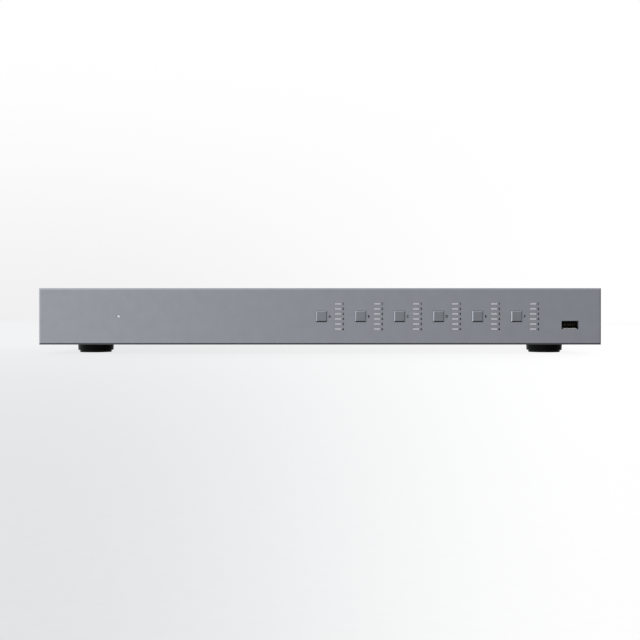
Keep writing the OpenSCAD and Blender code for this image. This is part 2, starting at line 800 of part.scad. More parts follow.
module front_board() {
    color("darkgreen") translate([0, y_case, 0]) difference() {
        block([front_x0, board_gap, mid_z - front_board_h / 2],
            [front_x1, board_gap + board_t, mid_z + front_board_h / 2]);
        for (x = front_pillar_x, s = [-1, 1])
            rod_y([x, board_gap - over, mid_z + s * front_pillar_z], hole_d / 2,
                board_t + 2 * over);
    }
}

module button(k) {
    half = button_w / 2 + button_lip;
    color("slategray") translate([button_x[k], y_case, 0]) {
        chamfered_plate(button_w, button_w, mid_z, -panel_t - button_proud, 0,
            button_bevel);
        block([-half, 0, mid_z - half], [half, button_lip_t, mid_z + half]);
        rod_y([0, 0, mid_z], plunger_d / 2, button_stem_l);
    }
}

module plunger(k) {
    color("white")
        rod_y([button_x[k], y_case + button_stem_l, mid_z], plunger_d / 2,
            plunger_proud + plunger_in);
}

module switch_bodies() {
    y0 = board_gap - switch_h;
    color("dimgray") translate([0, y_case, 0])
        for (x = button_x)
            difference() {
                block([x - switch_w / 2, y0, mid_z - switch_w / 2],
                    [x + switch_w / 2, board_gap, mid_z + switch_w / 2]);
                rod_y([x, y0 - over, mid_z], plunger_d / 2 + plunger_gap,
                    over + plunger_in + button_travel + 0.2);
            }
}

module light_guide(k) {
    color("whitesmoke") translate([0, y_case, 0]) {
        x = button_x[k] + bar_offset;
        for (j = [0 : zones - 1])
            bar_box(button_x[k], j, 0, -panel_t + bar_recess, guide_end);
        block([x - bar_w / 2 - web_lip, 0, mid_z - bars_h / 2 - web_lip],
            [x + bar_w / 2 + web_lip, web_t, mid_z + bars_h / 2 + web_lip]);
    }
}

module status_lens() {
    color("white") translate([-status_x, y_case, 0]) {
        rod_y([0, -panel_t + bar_recess, mid_z], status_d / 2,
            panel_t - bar_recess + guide_end);
        rod_y([0, 0, mid_z], status_d / 2 + status_gap + 1, web_t);
    }
}

module indicator_leds() {
    led_w = 2.4;
    color("ivory") translate([0, y_case, 0]) {
        for (x = button_x, k = [0 : zones - 1]) {
            z = mid_z + ((zones - 1) / 2 - k) * bar_pitch;
            block([x + bar_offset - led_w / 2, board_gap - led_t, z - bar_h / 2],
                [x + bar_offset + led_w / 2, board_gap, z + bar_h / 2]);
        }
        block([-status_x - led_w / 2, board_gap - led_t, mid_z - bar_h / 2],
            [-status_x + led_w / 2, board_gap, mid_z + bar_h / 2]);
    }
}

module usb_shell() {
    y0 = -panel_t + usb_recess + usb_lip;
    wi = usb_w / 2 - usb_wall;
    hi = usb_h / 2 - usb_wall;
    corner = 1;
    color("silver") translate([usb_x, y_case, usb_z]) {
        difference() {
            block([-usb_w / 2, y0, -usb_h / 2], [usb_w / 2, board_gap, usb_h / 2]);
            block([-wi, y0 - over, -hi], [wi, board_gap - usb_wall, hi]);
        }
        for (a = [0, 180])
            rotate([0, a, 0]) {
                side_sweep([[y0, hi], [y0 - usb_lip, hi + usb_lip],
                    [y0 - usb_lip + usb_wall, hi + usb_lip], [y0 + usb_wall, hi]],
                    -wi + corner, 2 * (wi - corner));
                translate([0, 0, -hi + corner]) linear_extrude(2 * (hi - corner))
                    polygon([[wi, y0], [wi + usb_side_lip, y0 - usb_side_lip],
                        [wi + usb_side_lip, y0 - usb_side_lip + usb_wall],
                        [wi, y0 + usb_wall]]);
            }
    }
}

module usb_tongue() {
    top = usb_h / 2 - usb_wall - 0.6;
    color("black") translate([usb_x, y_case, usb_z])
        block([-tongue_w / 2, -panel_t + usb_recess + usb_lip + 0.8, top - tongue_t],
            [tongue_w / 2, board_gap - usb_wall, top]);
}

// Ribbon cable from the front board to the main board

module ribbon_cable() {
    y0 = board_gap + board_t + ribbon_header_l;
    y1 = main_y0 + ribbon_header_inset;
    z1 = board_top + ribbon_header_h / 2;
    steps = 16;
    line = [for (k = [0 : steps])
        [y0 + (y1 - y0) * k / steps,
            mid_z + (z1 - mid_z) * (1 - cos(180 * k / steps)) / 2]];
    color("lightgray") translate([0, y_case, 0])
        side_sweep(concat([for (p = line) p + [0, ribbon_t / 2]],
            [for (k = [steps : -1 : 0]) line[k] - [0, ribbon_t / 2]]),
            ribbon_x - ribbon_w / 2, ribbon_w);
}

module ribbon_sockets() {
    half = ribbon_w / 2 + ribbon_header_lip;
    y0 = board_gap + board_t;
    y1 = main_y0 + ribbon_header_inset;
    color("black") translate([0, y_case, 0]) {
        block([ribbon_x - half, y0, mid_z - ribbon_header_h / 2],
            [ribbon_x + half, y0 + ribbon_header_l, mid_z + ribbon_header_h / 2]);
        block([ribbon_x - half, y1, board_top],
            [ribbon_x + half, y1 + ribbon_header_l, board_top + ribbon_header_h]);
    }
}

// Main board and what stands on it

module main_board() {
    color("darkgreen") translate([0, y_case, 0])
        bored_board([main_x0, main_y0], [main_x1, main_y1], main_pillars);
}

module bored_board(a, b, points) {
    difference() {
        block([a[0], a[1], board_z], [b[0], b[1], board_top]);
        for (p = points)
            rod_z([p[0], p[1], board_z - over], hole_d / 2, board_t + 2 * over);
    }
}

module matrix_chips() {
    chip_w = 12;
    main_chip_w = 27;
    color("dimgray") translate([0, y_case, 0]) {
        block([sink_x - main_chip_w / 2, sink_y - main_chip_w / 2, board_top],
            [sink_x + main_chip_w / 2, sink_y + main_chip_w / 2, board_top + chip_h]);
        for (x = hdmi_x)
            block([x - chip_w / 2, main_y1 - hdmi_d - 12 - chip_w, board_top],
                [x + chip_w / 2, main_y1 - hdmi_d - 12, board_top + chip_h / 2]);
    }
}

module heat_sink() {
    z0 = board_top + chip_h;
    pitch = (sink_w - fin_t) / (sink_fins - 1);
    color("black") translate([sink_x - sink_w / 2, y_case + sink_y - sink_w / 2, z0]) {
        cube([sink_w, sink_w, sink_base_t]);
        for (k = [0 : sink_fins - 1])
            translate([k * pitch, 0, 0])
                cube([fin_t, sink_w, sink_base_t + fin_h]);
    }
}

// Rear sockets

module video_sockets() {
    y1 = case_d - sheet_t - socket_gap;
    mouth = case_d + port_proud;
    color("silver") translate([0, y_case, 0])
        for (x = hdmi_x)
            difference() {
                union() {
                    block([x - hdmi_w / 2, y1 - hdmi_d, board_top],
                        [x + hdmi_w / 2, y1, board_top + hdmi_h]);
                    for (z = port_z)
                        depth_sweep(y1 - 1, mouth - y1 + 1)
                            translate([x, z]) port_outline(port_wall);
                }
                for (z = port_z)
                    depth_sweep(mouth - port_depth, port_depth + over)
                        translate([x, z]) port_outline(0);
            }
}

module video_tongues() {
    blade_w = 11.2;
    blade_t = 1.1;
    setback = 1.2;
    color("black") translate([0, y_case, 0])
        for (x = hdmi_x, z = port_z)
            block([x - blade_w / 2, case_d + port_proud - port_depth, z - blade_t / 2],
                [x + blade_w / 2, case_d + port_proud - setback, z + blade_t / 2]);
}

module network_socket() {
    mouth = case_d + socket_proud;
    depth = 13;
    latch_w = 6;
    latch_h = 1.8;
    color("silver") translate([0, y_case, 0]) difference() {
        block([lan_x - lan_w / 2, main_y1 - lan_d, board_top],
            [lan_x + lan_w / 2, mouth, board_top + lan_h]);
        block([lan_x - lan_mouth_w / 2, mouth - depth, lan_mouth_z - lan_mouth_h / 2
            + latch_h], [lan_x + lan_mouth_w / 2, mouth + over,
            lan_mouth_z + lan_mouth_h / 2 + latch_h]);
        block([lan_x - latch_w / 2, mouth - depth, lan_mouth_z - lan_mouth_h / 2],
            [lan_x + latch_w / 2, mouth + over, lan_mouth_z]);
    }
}

module serial_socket() {
    mouth = case_d + socket_proud;
    color("green") translate([0, y_case, 0]) difference() {
        block([serial_x - serial_w / 2, main_y1 - serial_d, board_top],
            [serial_x + serial_w / 2, mouth, board_top + serial_h]);
        block([serial_x - serial_w / 2 + serial_wall, mouth - serial_depth,
            board_top + serial_wall], [serial_x + serial_w / 2 - serial_wall,
            mouth + over, board_top + serial_h - serial_wall]);
    }
}

module serial_pins() {
    pin_t = 0.8;
    setback = 1;
    z = board_top + serial_h / 2;
    color("silver") translate([0, y_case, 0])
        for (k = [-1 : 1]) {
            x = serial_x + k * serial_pitch;
            block([x - pin_t / 2, case_d + socket_proud - serial_depth, z - pin_t / 2],
                [x + pin_t / 2, case_d + socket_proud - setback, z + pin_t / 2]);
        }
}

module audio_jacks() {
    mouth = case_d + socket_proud;
    bore_l = jack_d - 1;
    color("black") translate([0, y_case, 0])
        for (x = jack_x)
            difference() {
                union() {
                    block([x - jack_w / 2, main_y1 - jack_d, board_top],
                        [x + jack_w / 2, main_y1, board_top + jack_h]);
                    rod_y([x, main_y1 - 1, jack_z], jack_nose_d / 2,
                        mouth - main_y1 + 1);
                }
                rod_y([x, mouth - bore_l, jack_z], jack_bore_d / 2, bore_l + over);
            }
}

// Power parts

module mains_inlet() {
    mouth = case_d + inlet_flange_t;
    back = mouth - inlet_body_d;
    color("black") translate([0, y_case, 0]) difference() {
        union() {
            chamfered_flange(inlet_x, inlet_z, inlet_w, inlet_h, inlet_flange_t);
            depth_sweep(back, inlet_body_d - inlet_flange_t + 0.5)
                translate([inlet_x, inlet_z]) inlet_outline(inlet_wall);
        }
        depth_sweep(mouth - cavity_d, cavity_d + over)
            translate([inlet_x, inlet_z]) inlet_outline(0);
        for (p = pin_points())
            block([p[0] - 1 - 0.05, back - over, p[1] - 2 - 0.05],
                [p[0] + 1 + 0.05, mouth, p[1] + 2 + 0.05]);
    }
}

// A flange on the outside of the rear panel, with its outer edges chamfered
module chamfered_flange(x, z, w, h, t) {
    edge = 0.6;
    translate([x, case_d, 0]) mirror([0, 1, 0])
        chamfered_plate(w, h, z, -t, 0, edge);
}

// Middles of the three pins in X and Z: earth above, and the two power pins below it
function pin_points() = [[inlet_x, inlet_z + 2], [inlet_x - pin_spacing / 2, inlet_z - 2],
    [inlet_x + pin_spacing / 2, inlet_z - 2]];

module inlet_pins() {
    back = case_d + inlet_flange_t - inlet_body_d;
    color("silver") translate([0, y_case, 0])
        for (p = pin_points())
            block([p[0] - 1, back - tab_l, p[1] - 2],
                [p[0] + 1, case_d + inlet_flange_t - 1.5, p[1] + 2]);
}

function rocker_body_w() = rocker_w + 2 * rocker_gap + 2 * frame_wall;
function rocker_body_l() = rocker_window + 2 * frame_wall;

module rocker_frame() {
    face = case_d + rim_t;
    well_w = rocker_w / 2 + rocker_gap;
    color("black") translate([0, y_case, 0]) {
        difference() {
            union() {
                chamfered_flange(rocker_x, mid_z, rocker_frame_w, rocker_frame_l, rim_t);
                block([rocker_x - rocker_body_w() / 2, face - frame_depth,
                    mid_z - rocker_body_l() / 2], [rocker_x + rocker_body_w() / 2,
                    case_d + 0.5, mid_z + rocker_body_l() / 2]);
            }
            block([rocker_x - well_w, face - well_depth, mid_z - rocker_window / 2],
                [rocker_x + well_w, face + over, mid_z + rocker_window / 2]);
            rod_x([rocker_x - rocker_body_w() / 2 - over, face - pivot_depth, mid_z],
                pivot_d / 2 + 0.05, rocker_body_w() + 2 * over);
        }
        for (s = [-1, 1])
            block([rocker_x - terminal_w / 2, face - frame_depth - terminal_l,
                mid_z + s * terminal_z - 0.4], [rocker_x + terminal_w / 2,
                face - frame_depth + over, mid_z + s * terminal_z + 0.4]);
    }
}

// The rocker at rest, with its lower half pressed in. Its face is a shallow V.
module rocker() {
    end_y = rocker_end_y;
    half = rocker_l / 2;
    foot_half = half - 1.4;
    foot_y = 1;
    color("black")
        translate([rocker_x, y_case + case_d + rim_t - pivot_depth, mid_z])
            rotate([-rocker_tilt, 0, 0]) {
                side_sweep([[end_y, -half], [rocker_face + pivot_depth, 0],
                    [end_y, half], [foot_y, foot_half], [-2, 3], [-2, -3],
                    [foot_y, -foot_half]], -rocker_w / 2, rocker_w);
                rod_x([-rocker_body_w() / 2, 0, 0], pivot_d / 2, rocker_body_w());
            }
}

// Fan

module fan_frame() {
    plate_t = 1.5;
    sleeve_y = 3;
    stator_d = hub_d - 5;
    color("dimgray") translate([fan_x, y_case + fan_y, fan_z]) {
        difference() {
            block([0, -fan_size / 2, -fan_size / 2], [fan_t, fan_size / 2, fan_size / 2]);
            rod_x([-over, 0, 0], duct_d / 2, fan_t + 2 * over);
            for (s = [-1, 1], t = [-1, 1])
                rod_x([-over, s * fan_hole_spacing / 2, t * fan_hole_spacing / 2],
                    hole_d / 2, fan_t + 2 * over);
        }
        difference() {
            union() {
                for (a = [0, 90])
                    rotate([a, 0, 0])
                        block([fan_t - plate_t, -fan_size / 2 + 0.5, -1],
                            [fan_t, fan_size / 2 - 0.5, 1]);
                rod_x([fan_t - plate_t, 0, 0], hub_d / 2, plate_t);
                rod_x([sleeve_y, 0, 0], stator_d / 2, fan_t - sleeve_y);
            }
            rod_x([sleeve_y - over, 0, 0], shaft_d / 2 + 0.05, fan_t - sleeve_y);
        }
    }
}

module fan_rotor() {
    blades = 7;
    hub_x = 0.8;
    hub_end = fan_t - 2.2;
    wall = 1.2;
    blade_t = 0.9;
    blade_chord = 8;
    blade_tilt = 40;
    tip_r = duct_d / 2 - duct_gap - 0.3;
    color("black") translate([fan_x, y_case + fan_y, fan_z]) {
        difference() {
            rod_x([hub_x, 0, 0], hub_d / 2, hub_end - hub_x);
            rod_x([hub_x + wall, 0, 0], hub_d / 2 - wall, hub_end);
        }
        rod_x([hub_x + wall / 2, 0, 0], shaft_d / 2, fan_t - 1.8 - hub_x - wall / 2);
        for (k = [0 : blades - 1])
            rotate([k * 360 / blades, 0, 0])
                translate([(hub_x + hub_end) / 2, 0, hub_d / 2 - wall / 2])
                    rotate([0, 0, blade_tilt])
                        translate([-blade_chord / 2, -blade_t / 2, 0])
                            cube([blade_chord, blade_t, tip_r - hub_d / 2 + wall / 2]);
    }
}

// Power supply

module supply_board() {
    color("peru") translate([0, y_case, 0])
        bored_board([supply_x0, supply_y0], [supply_x1, supply_y1], supply_pillars);
}

module supply_transformer() {
    color("khaki")
        translate([supply_x0 + supply_w / 2, y_case + supply_y0 + supply_d / 2,
            board_top]) {
            block([-core_w / 2, -core_d / 2, (coil_h - core_h) / 2],
                [core_w / 2, core_d / 2, (coil_h + core_h) / 2]);
            block([-coil_w / 2, -coil_d / 2, 0], [coil_w / 2, coil_d / 2, coil_h]);
        }
}

module supply_capacitors() {
    color("midnightblue") translate([0, y_case, 0]) {
        rod_z([supply_x0 + supply_w / 2, supply_y1 - bulk_cap_d - 4, board_top],
            bulk_cap_d / 2, bulk_cap_h);
        for (k = [0 : 2])
            rod_z([supply_x0 + supply_w / 2 + (k - 1) * cap_pitch,
                supply_y0 + 2 * cap_d, board_top], cap_d / 2, cap_h);
        for (k = [0 : 3])
            rod_z([main_x1 - 2 * cap_d, main_y0 + (k + 3) * cap_pitch, board_top],
                cap_d / 2, cap_h);
    }
}

// Wires: rings of points along a curve whose two ends leave along given directions
wire_sides = 8;
wire_steps = 10;
function curve_point(w, t) =
    pow(1 - t, 3) * w[0] + 3 * pow(1 - t, 2) * t * (w[0] + w[1])
    + 3 * (1 - t) * t * t * (w[3] + w[2]) + t * t * t * w[3];
function curve_way(w, t) =
    let (d = pow(1 - t, 2) * w[1] + 2 * (1 - t) * t * (w[3] + w[2] - w[0] - w[1])
        - t * t * w[2]) d / norm(d);
function wire_ring(w, t) =
    let (way = curve_way(w, t), a = cross(way, w[4]), u = a / norm(a), v = cross(way, u))
    [for (k = [0 : wire_sides - 1]) curve_point(w, t)
        + wire_r * (cos(360 * k / wire_sides) * u + sin(360 * k / wire_sides) * v)];

// A wire is [start, way out, way out of the end, end, a direction square to neither way]
module wire(w) {
    last = wire_steps * wire_sides;
    polyhedron([for (k = [0 : wire_steps]) each wire_ring(w, k / wire_steps)],
        concat([[for (k = [0 : wire_sides - 1]) k]],
            [[for (k = [wire_sides - 1 : -1 : 0]) last + k]],
            [for (j = [0 : wire_steps - 1], k = [0 : wire_sides - 1])
                let (a = j * wire_sides + k, b = j * wire_sides + (k + 1) % wire_sides)
                each [[a, a + wire_sides, b + wire_sides], [a, b + wire_sides, b]]]));
}

module power_wires() {
    tab_y = case_d + inlet_flange_t - inlet_body_d - tab_l;
    terminal_y = case_d + rim_t - frame_depth - terminal_l;
    pins = pin_points();
    color("saddlebrown") translate([0, y_case, 0]) {
        // the two power pins to the switch, and the switch to the supply board
        for (s = [-1, 1]) {
            wire([[pins[1 + (s + 1) / 2][0], tab_y, pins[1][1]], [0, -14, 0],
                [0, -12, 0], [rocker_x + 1.2, terminal_y, mid_z + s * terminal_z],
                [0.3, 0, 1]]);
            wire([[rocker_x - 1.2, terminal_y, mid_z + s * terminal_z], [0, -7, 0],
                [0, 0, 14], [supply_x0 + 16 + s * 3, supply_y1 - 4, board_top],
                [1, 0, 0]]);
        }
        // earth pin to the supply board
        wire([[pins[0][0], tab_y, pins[0][1]], [0, -8, 0], [0, 0, 12],
            [pins[0][0], supply_y1 - 8, board_top], [1, 0, 0]]);
        // low-voltage pair to the main board
        for (s = [-1, 1])
            wire([[supply_x0 + 4, supply_y0 + 40 + s * 2, board_top], [0, 0, 12],
                [0, 0, 12], [main_x1 - 4, supply_y0 + 40 + s * 2, board_top],
                [0, 1, 0]]);
    }
}

front_panel();
base_pan();
top_cover();
rear_panel();
foot(0);  // foot_front_left
foot(1);  // foot_front_right
foot(2);  // foot_rear_left
foot(3);  // foot_rear_right
foot_pads();
foot_screws();
case_screws();
front_panel_screws();
board_screws();
board_pillars();
fan_screws();
front_board();
button(0);  // button_1
button(1);  // button_2
button(2);  // button_3
button(3);  // button_4
button(4);  // button_5
button(5);  // button_6
plunger(0);  // plunger_1
plunger(1);  // plunger_2
plunger(2);  // plunger_3
plunger(3);  // plunger_4
plunger(4);  // plunger_5
plunger(5);  // plunger_6
switch_bodies();
light_guide(0);  // light_guide_1
light_guide(1);  // light_guide_2
light_guide(2);  // light_guide_3
light_guide(3);  // light_guide_4
light_guide(4);  // light_guide_5
light_guide(5);  // light_guide_6
status_lens();
indicator_leds();
usb_shell();
usb_tongue();
ribbon_cable();
ribbon_sockets();
main_board();
matrix_chips();
heat_sink();
video_sockets();
video_tongues();
network_socket();
serial_socket();
serial_pins();
audio_jacks();
mains_inlet();
inlet_pins();
rocker_frame();
rocker();
fan_frame();
fan_rotor();
supply_board();
supply_transformer();
supply_capacitors();
power_wires();
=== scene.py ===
"""Looks of the one-unit video matrix switch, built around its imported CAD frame.

Lengths are metres. X runs to the right as seen from the front, Y to the rear and Z up.
Every place and size is read from the frame's own boxes or named here once.
"""

import json
import math

import bmesh
import bpy
from mathutils import Matrix, Vector


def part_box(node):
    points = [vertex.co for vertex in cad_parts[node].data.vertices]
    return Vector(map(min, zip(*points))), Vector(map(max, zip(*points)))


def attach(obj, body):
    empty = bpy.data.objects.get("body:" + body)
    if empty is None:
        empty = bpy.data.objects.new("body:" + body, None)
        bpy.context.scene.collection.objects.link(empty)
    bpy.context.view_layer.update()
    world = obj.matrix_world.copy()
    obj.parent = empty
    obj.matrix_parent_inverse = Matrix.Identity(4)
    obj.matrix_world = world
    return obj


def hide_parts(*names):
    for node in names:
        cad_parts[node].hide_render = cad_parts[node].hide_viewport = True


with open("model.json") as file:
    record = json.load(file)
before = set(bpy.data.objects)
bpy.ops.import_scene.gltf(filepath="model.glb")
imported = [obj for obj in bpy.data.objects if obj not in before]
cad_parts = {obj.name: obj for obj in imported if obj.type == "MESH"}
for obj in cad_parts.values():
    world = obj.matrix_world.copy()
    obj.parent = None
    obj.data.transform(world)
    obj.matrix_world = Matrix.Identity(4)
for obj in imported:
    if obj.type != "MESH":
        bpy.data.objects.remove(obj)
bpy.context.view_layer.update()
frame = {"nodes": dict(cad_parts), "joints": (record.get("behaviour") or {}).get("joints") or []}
nodes = frame["nodes"]

MM = 0.001
# Corners closer than this are one corner
SAME = 0.001 * MM
CHASSIS = "chassis"
ZONES = range(1, 7)


def extent(corners):
    """The lowest and highest corner of a box round all corners."""
    return [Vector([pick(corner[k] for corner in corners) for k in range(3)])
            for pick in (min, max)]


def boxes(name):
    """Lowest and highest corner of each solid of a CAD node, from left to right."""
    mesh = bmesh.new()
    mesh.from_mesh(nodes[name].data)
    bmesh.ops.remove_doubles(mesh, verts=mesh.verts, dist=SAME)
    seen = set()
    found = []
    for start in mesh.verts:
        if start in seen:
            continue
        seen.add(start)
        solid = [start]
        for vert in solid:
            for edge in vert.link_edges:
                other = edge.other_vert(vert)
                if other not in seen:
                    seen.add(other)
                    solid.append(other)
        found.append(extent([vert.co for vert in solid]))
    mesh.free()
    return sorted(found, key=lambda box: [round(x, 5) for x in box[0]])


def mean(low, high):
    """The middle of a box."""
    return [(a + b) / 2 for a, b in zip(low, high)]


def placed(name, data):
    """A new object in the scene."""
    made = bpy.data.objects.new(name, data)
    bpy.context.scene.collection.objects.link(made)
    return made


panel_low, panel_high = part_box("front_panel")
mid_z = (panel_low.z + panel_high.z) / 2
rear_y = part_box("rear_panel")[1].y
button_x = [mean(*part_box(f"button_{k}"))[0] for k in ZONES]
rocker_pivot = next(joint["pos_m"] for joint in frame["joints"]
                    if joint["name"] == "power_rocker_tilt")


# Camera, at the photograph's distance and height, from where the front panel hides the rear
# feet. The small shift puts the panel as high in the picture as in the photograph.

CAMERA_DISTANCE = 694.8 * MM
CAMERA_DROP = 0.9 * MM
CAMERA_SHIFT = -0.00385

camera_data = bpy.data.cameras.new("camera")
camera_data.lens = 50
camera_data.sensor_width = 36
camera_data.shift_y = CAMERA_SHIFT
camera_data.clip_start = 10 * MM
camera = placed("camera", camera_data)
camera.location = (0, panel_low.y - CAMERA_DISTANCE, mid_z - CAMERA_DROP)
camera.rotation_euler = (math.radians(90), 0, 0)
bpy.context.scene.camera = camera
bpy.context.scene.view_settings.view_transform = "Standard"


# Procedural finishes

finishes = {}


def srgb(red, green, blue):
    """A colour given as it looks on a screen, 0 to 255, as Blender's linear values."""
    return tuple(
        v / 255 / 12.92 if v <= 10 else ((v / 255 + 0.055) / 1.055) ** 2.4
        for v in (red, green, blue)
    ) + (1.0,)


def shade(colour, factor):
    return tuple(c * factor for c in colour[:3]) + (1.0,)


class Pattern:
    """Shader nodes of a material or of the world, made and linked in one step."""

    def __init__(self, tree):
        self.tree = tree

    def node(self, kind, inputs=None, **settings):
        made = self.tree.nodes.new(kind)
        for key, value in settings.items():
            setattr(made, key, value)
        for key, value in (inputs or {}).items():
            self.feed(made.inputs[key], value)
        return made

    def feed(self, socket, value):
        if isinstance(value, bpy.types.NodeSocket):
            self.tree.links.new(value, socket)
        else:
            socket.default_value = value

    def split(self, vector):
        """The X, Y and Z of a vector."""
        return self.node("ShaderNodeSeparateXYZ", {"Vector": vector}).outputs

    def spread(self, value, low, high, start=0.3, end=0.7, course="LINEAR"):
        """Runs from low to high while the value runs from start to end."""
        inputs = {"Value": value, "From Min": start, "From Max": end, "To Min": low,
                  "To Max": high}
        return self.node("ShaderNodeMapRange", inputs,
                         interpolation_type=course).outputs["Result"]

    def fade(self, value, start, end, low, high):
        """As spread, but with a soft start and end."""
        return self.spread(value, low, high, start, end, "SMOOTHSTEP")

    def math(self, operation, first, second=0.0):
        return self.node("ShaderNodeMath", {0: first, 1: second}, operation=operation).outputs[0]

    def times(self, first, second):
        return self.math("MULTIPLY", first, second)

    def mix(self, factor, first, second):
        """A colour between two, by a factor."""
        return self.node("ShaderNodeMix", {0: factor, 6: first, 7: second},
                         data_type="RGBA").outputs[2]


class Finish(Pattern):
    """A procedural material. Its patterns are read in the part's own metres."""

    def __init__(self, name, fixed):
        material = bpy.data.materials.new(name)
        material.use_nodes = True
        finishes[name] = material
        super().__init__(material.node_tree)
        self.surface = self.tree.nodes["Principled BSDF"]
        coordinates = self.node("ShaderNodeTexCoord").outputs
        self.place = coordinates["Object"]
        self.normal = coordinates["Normal"]
        for socket, value in fixed.items():
            self.set(socket, value)

    def set(self, socket, value):
        self.feed(self.surface.inputs[socket], value)

    def stretched(self, scale):
        """The place, with each axis scaled."""
        return self.node("ShaderNodeMapping", {"Vector": self.place, "Scale": scale}).outputs[0]

    def noise(self, grain, detail=2.0, roughness=0.5, place=None):
        """Cloudy noise whose blotches are about one grain across."""
        inputs = {"Vector": place or self.place, "Scale": 1 / grain, "Detail": detail,
                  "Roughness": roughness}
        return self.node("ShaderNodeTexNoise", inputs).outputs["Fac"]

    def cells(self, size, randomness, **settings):
        inputs = {"Vector": self.place, "Scale": 1 / size, "Randomness": randomness}
        return self.node("ShaderNodeTexVoronoi", inputs, **settings)

    def edges(self, width):
        """1 along convex and concave edges, 0 on flats."""
        round_normal = self.node("ShaderNodeBevel", {"Radius": width}, samples=4)
        flat_normal = self.node("ShaderNodeNewGeometry").outputs["Normal"]
        alike = self.node("ShaderNodeVectorMath", {0: round_normal.outputs[0], 1: flat_normal},
                          operation="DOT_PRODUCT").outputs["Value"]
        return self.spread(alike, 1, 0, start=0.86, end=0.99)

    def bump(self, height, depth, under=None):
        inputs = {"Height": height, "Distance": depth}
        if under:
            inputs["Normal"] = under
        made = self.node("ShaderNodeBump", inputs).outputs["Normal"]
        self.set("Normal", made)
        return made


def anodised(name, colour, roughness, grain=0.22 * MM, painted_bevel_light=1.0):
    """Bead-blasted aluminium: a fine even grain, faint clouds and slightly brighter edges.

    Faces that don't look to the front or rear are painted brighter by the last factor, as a
    painted highlight, and those of them that look down are painted at half the colour, as
    painted shade.
    """
    f = Finish(name, {"Metallic": 1.0})
    clouds = f.noise(9 * MM, detail=3)
    blast = f.noise(grain, detail=3, roughness=0.65)
    toned = f.mix(f.spread(clouds, 0, 1), shade(colour, 0.97), shade(colour, 1.03))
    grained = f.mix(f.spread(blast, 0, 0.35), toned, shade(colour, 0.9))
    wear_and_painted_bevels = f.mix(f.times(f.edges(0.25 * MM), 0.45), grained, shade(colour, 1.25))
    # Painted highlight on faces that look sideways or up, painted shade on faces that look down
    if painted_bevel_light > 1:
        facing = f.split(f.normal)
        side_faces_painted = f.spread(f.math("ABSOLUTE", facing["Y"]), 1, 0, start=0.8, end=0.95)
        painted_shade_down = f.spread(facing["Z"], 1, 0, start=-0.5, end=-0.2)
        wear_and_painted_bevels = f.mix(side_faces_painted, wear_and_painted_bevels, f.mix(painted_shade_down, shade(colour, painted_bevel_light), shade(colour, 0.5)))
    f.set("Base Color", wear_and_painted_bevels)
    f.set("Roughness", f.spread(f.noise(0.6 * MM, detail=4), roughness - 0.04,
                                roughness + 0.05))
    f.bump(blast, 0.012 * MM)


def powder_coat(name, colour, wear):
    """Fine-textured paint on steel, a little rubbed along its edges."""
    f = Finish(name, {"Specular IOR Level": 0.45})
    lumps = f.noise(0.55 * MM, detail=2.5, roughness=0.6)
    specks = f.noise(0.17 * MM, detail=2)
    clouds = f.noise(22 * MM, detail=4)
    patches = f.spread(f.noise(14 * MM, detail=5), 0, 0.45, start=0.48, end=0.7)
    tone = f.mix(f.spread(lumps, 0, 1), shade(colour, 0.8), shade(colour, 1.25))
    dusty = f.mix(f.spread(clouds, 0, 0.06), tone, shade(colour, 1.9))
    f.set("Base Color", f.mix(f.times(f.edges(0.35 * MM), patches), dusty, wear))
    f.set("Roughness", f.spread(clouds, 0.54, 0.58))
    fine = f.bump(specks, 0.01 * MM)
    f.bump(lumps, 0.045 * MM, under=fine)


def moulded(name, colour, roughness=0.42, grain=0.3 * MM, depth=0.01 * MM, shine=0.5):
    """Injection-moulded plastic: a spark-eroded grain, flow clouds and softer edges."""
    f = Finish(name, {"Specular IOR Level": shine})
    pits = f.noise(grain, detail=3, roughness=0.6)
    clouds = f.noise(7 * MM, detail=3)
    toned = f.mix(f.spread(clouds, 0, 1), shade(colour, 0.88), shade(colour, 1.12))
    f.set("Base Color", f.mix(f.times(f.edges(0.2 * MM), 0.35), toned, shade(colour, 1.7)))
    f.set("Roughness", f.spread(pits, roughness - 0.06, roughness + 0.08))
    f.bump(pits, depth)


def metal(name, colour, roughness, stretch=(1, 1, 1), painted_shade_from=None):
    """Plated or bare sheet metal: rolling streaks, small stains and bright edges.

    Behind the last argument, a place along Y, it is painted near black, as painted shade
    inside a socket. Before it, faces that look up get a painted highlight, and faces that
    look sideways or down are painted dark, as painted shade.
    """
    f = Finish(name, {"Metallic": 1.0})
    streaks = f.noise(0.5 * MM, detail=3, place=f.stretched(stretch))
    stains = f.noise(3.5 * MM, detail=5, roughness=0.6)
    if painted_shade_from is None:
        toned = f.mix(f.spread(stains, 0, 0.6), colour, shade(colour, 0.78))
        edge_wear_and_painted_light = f.mix(f.times(f.edges(0.12 * MM), 0.4), toned, shade(colour, 1.2))
    else:
        # Painted shade inside the socket and on lips that look sideways or down, a painted
        # highlight on lips that look up
        painted_shade_inside = f.spread(f.split(f.place)["Y"], 0, 1, start=painted_shade_from,
                          end=painted_shade_from + 0.8 * MM)
        looks_up = f.split(f.normal)["Z"]
        lips_painted_light = f.mix(f.spread(looks_up, 0, 1, start=-0.5, end=-0.1), shade(colour, 0.06),
                    shade(colour, 0.13))
        lips_painted_light = f.mix(f.spread(looks_up, 0, 1, start=0.2, end=0.5), lips_painted_light, shade(colour, 1.3))
        edge_wear_and_painted_light = f.mix(painted_shade_inside, lips_painted_light, shade(colour, 0.04))
    f.set("Base Color", edge_wear_and_painted_light)
    f.set("Roughness", f.math("ADD", f.spread(streaks, roughness - 0.05, roughness + 0.07),
                              f.spread(stains, 0, 0.06)))
    f.bump(streaks, 0.004 * MM)


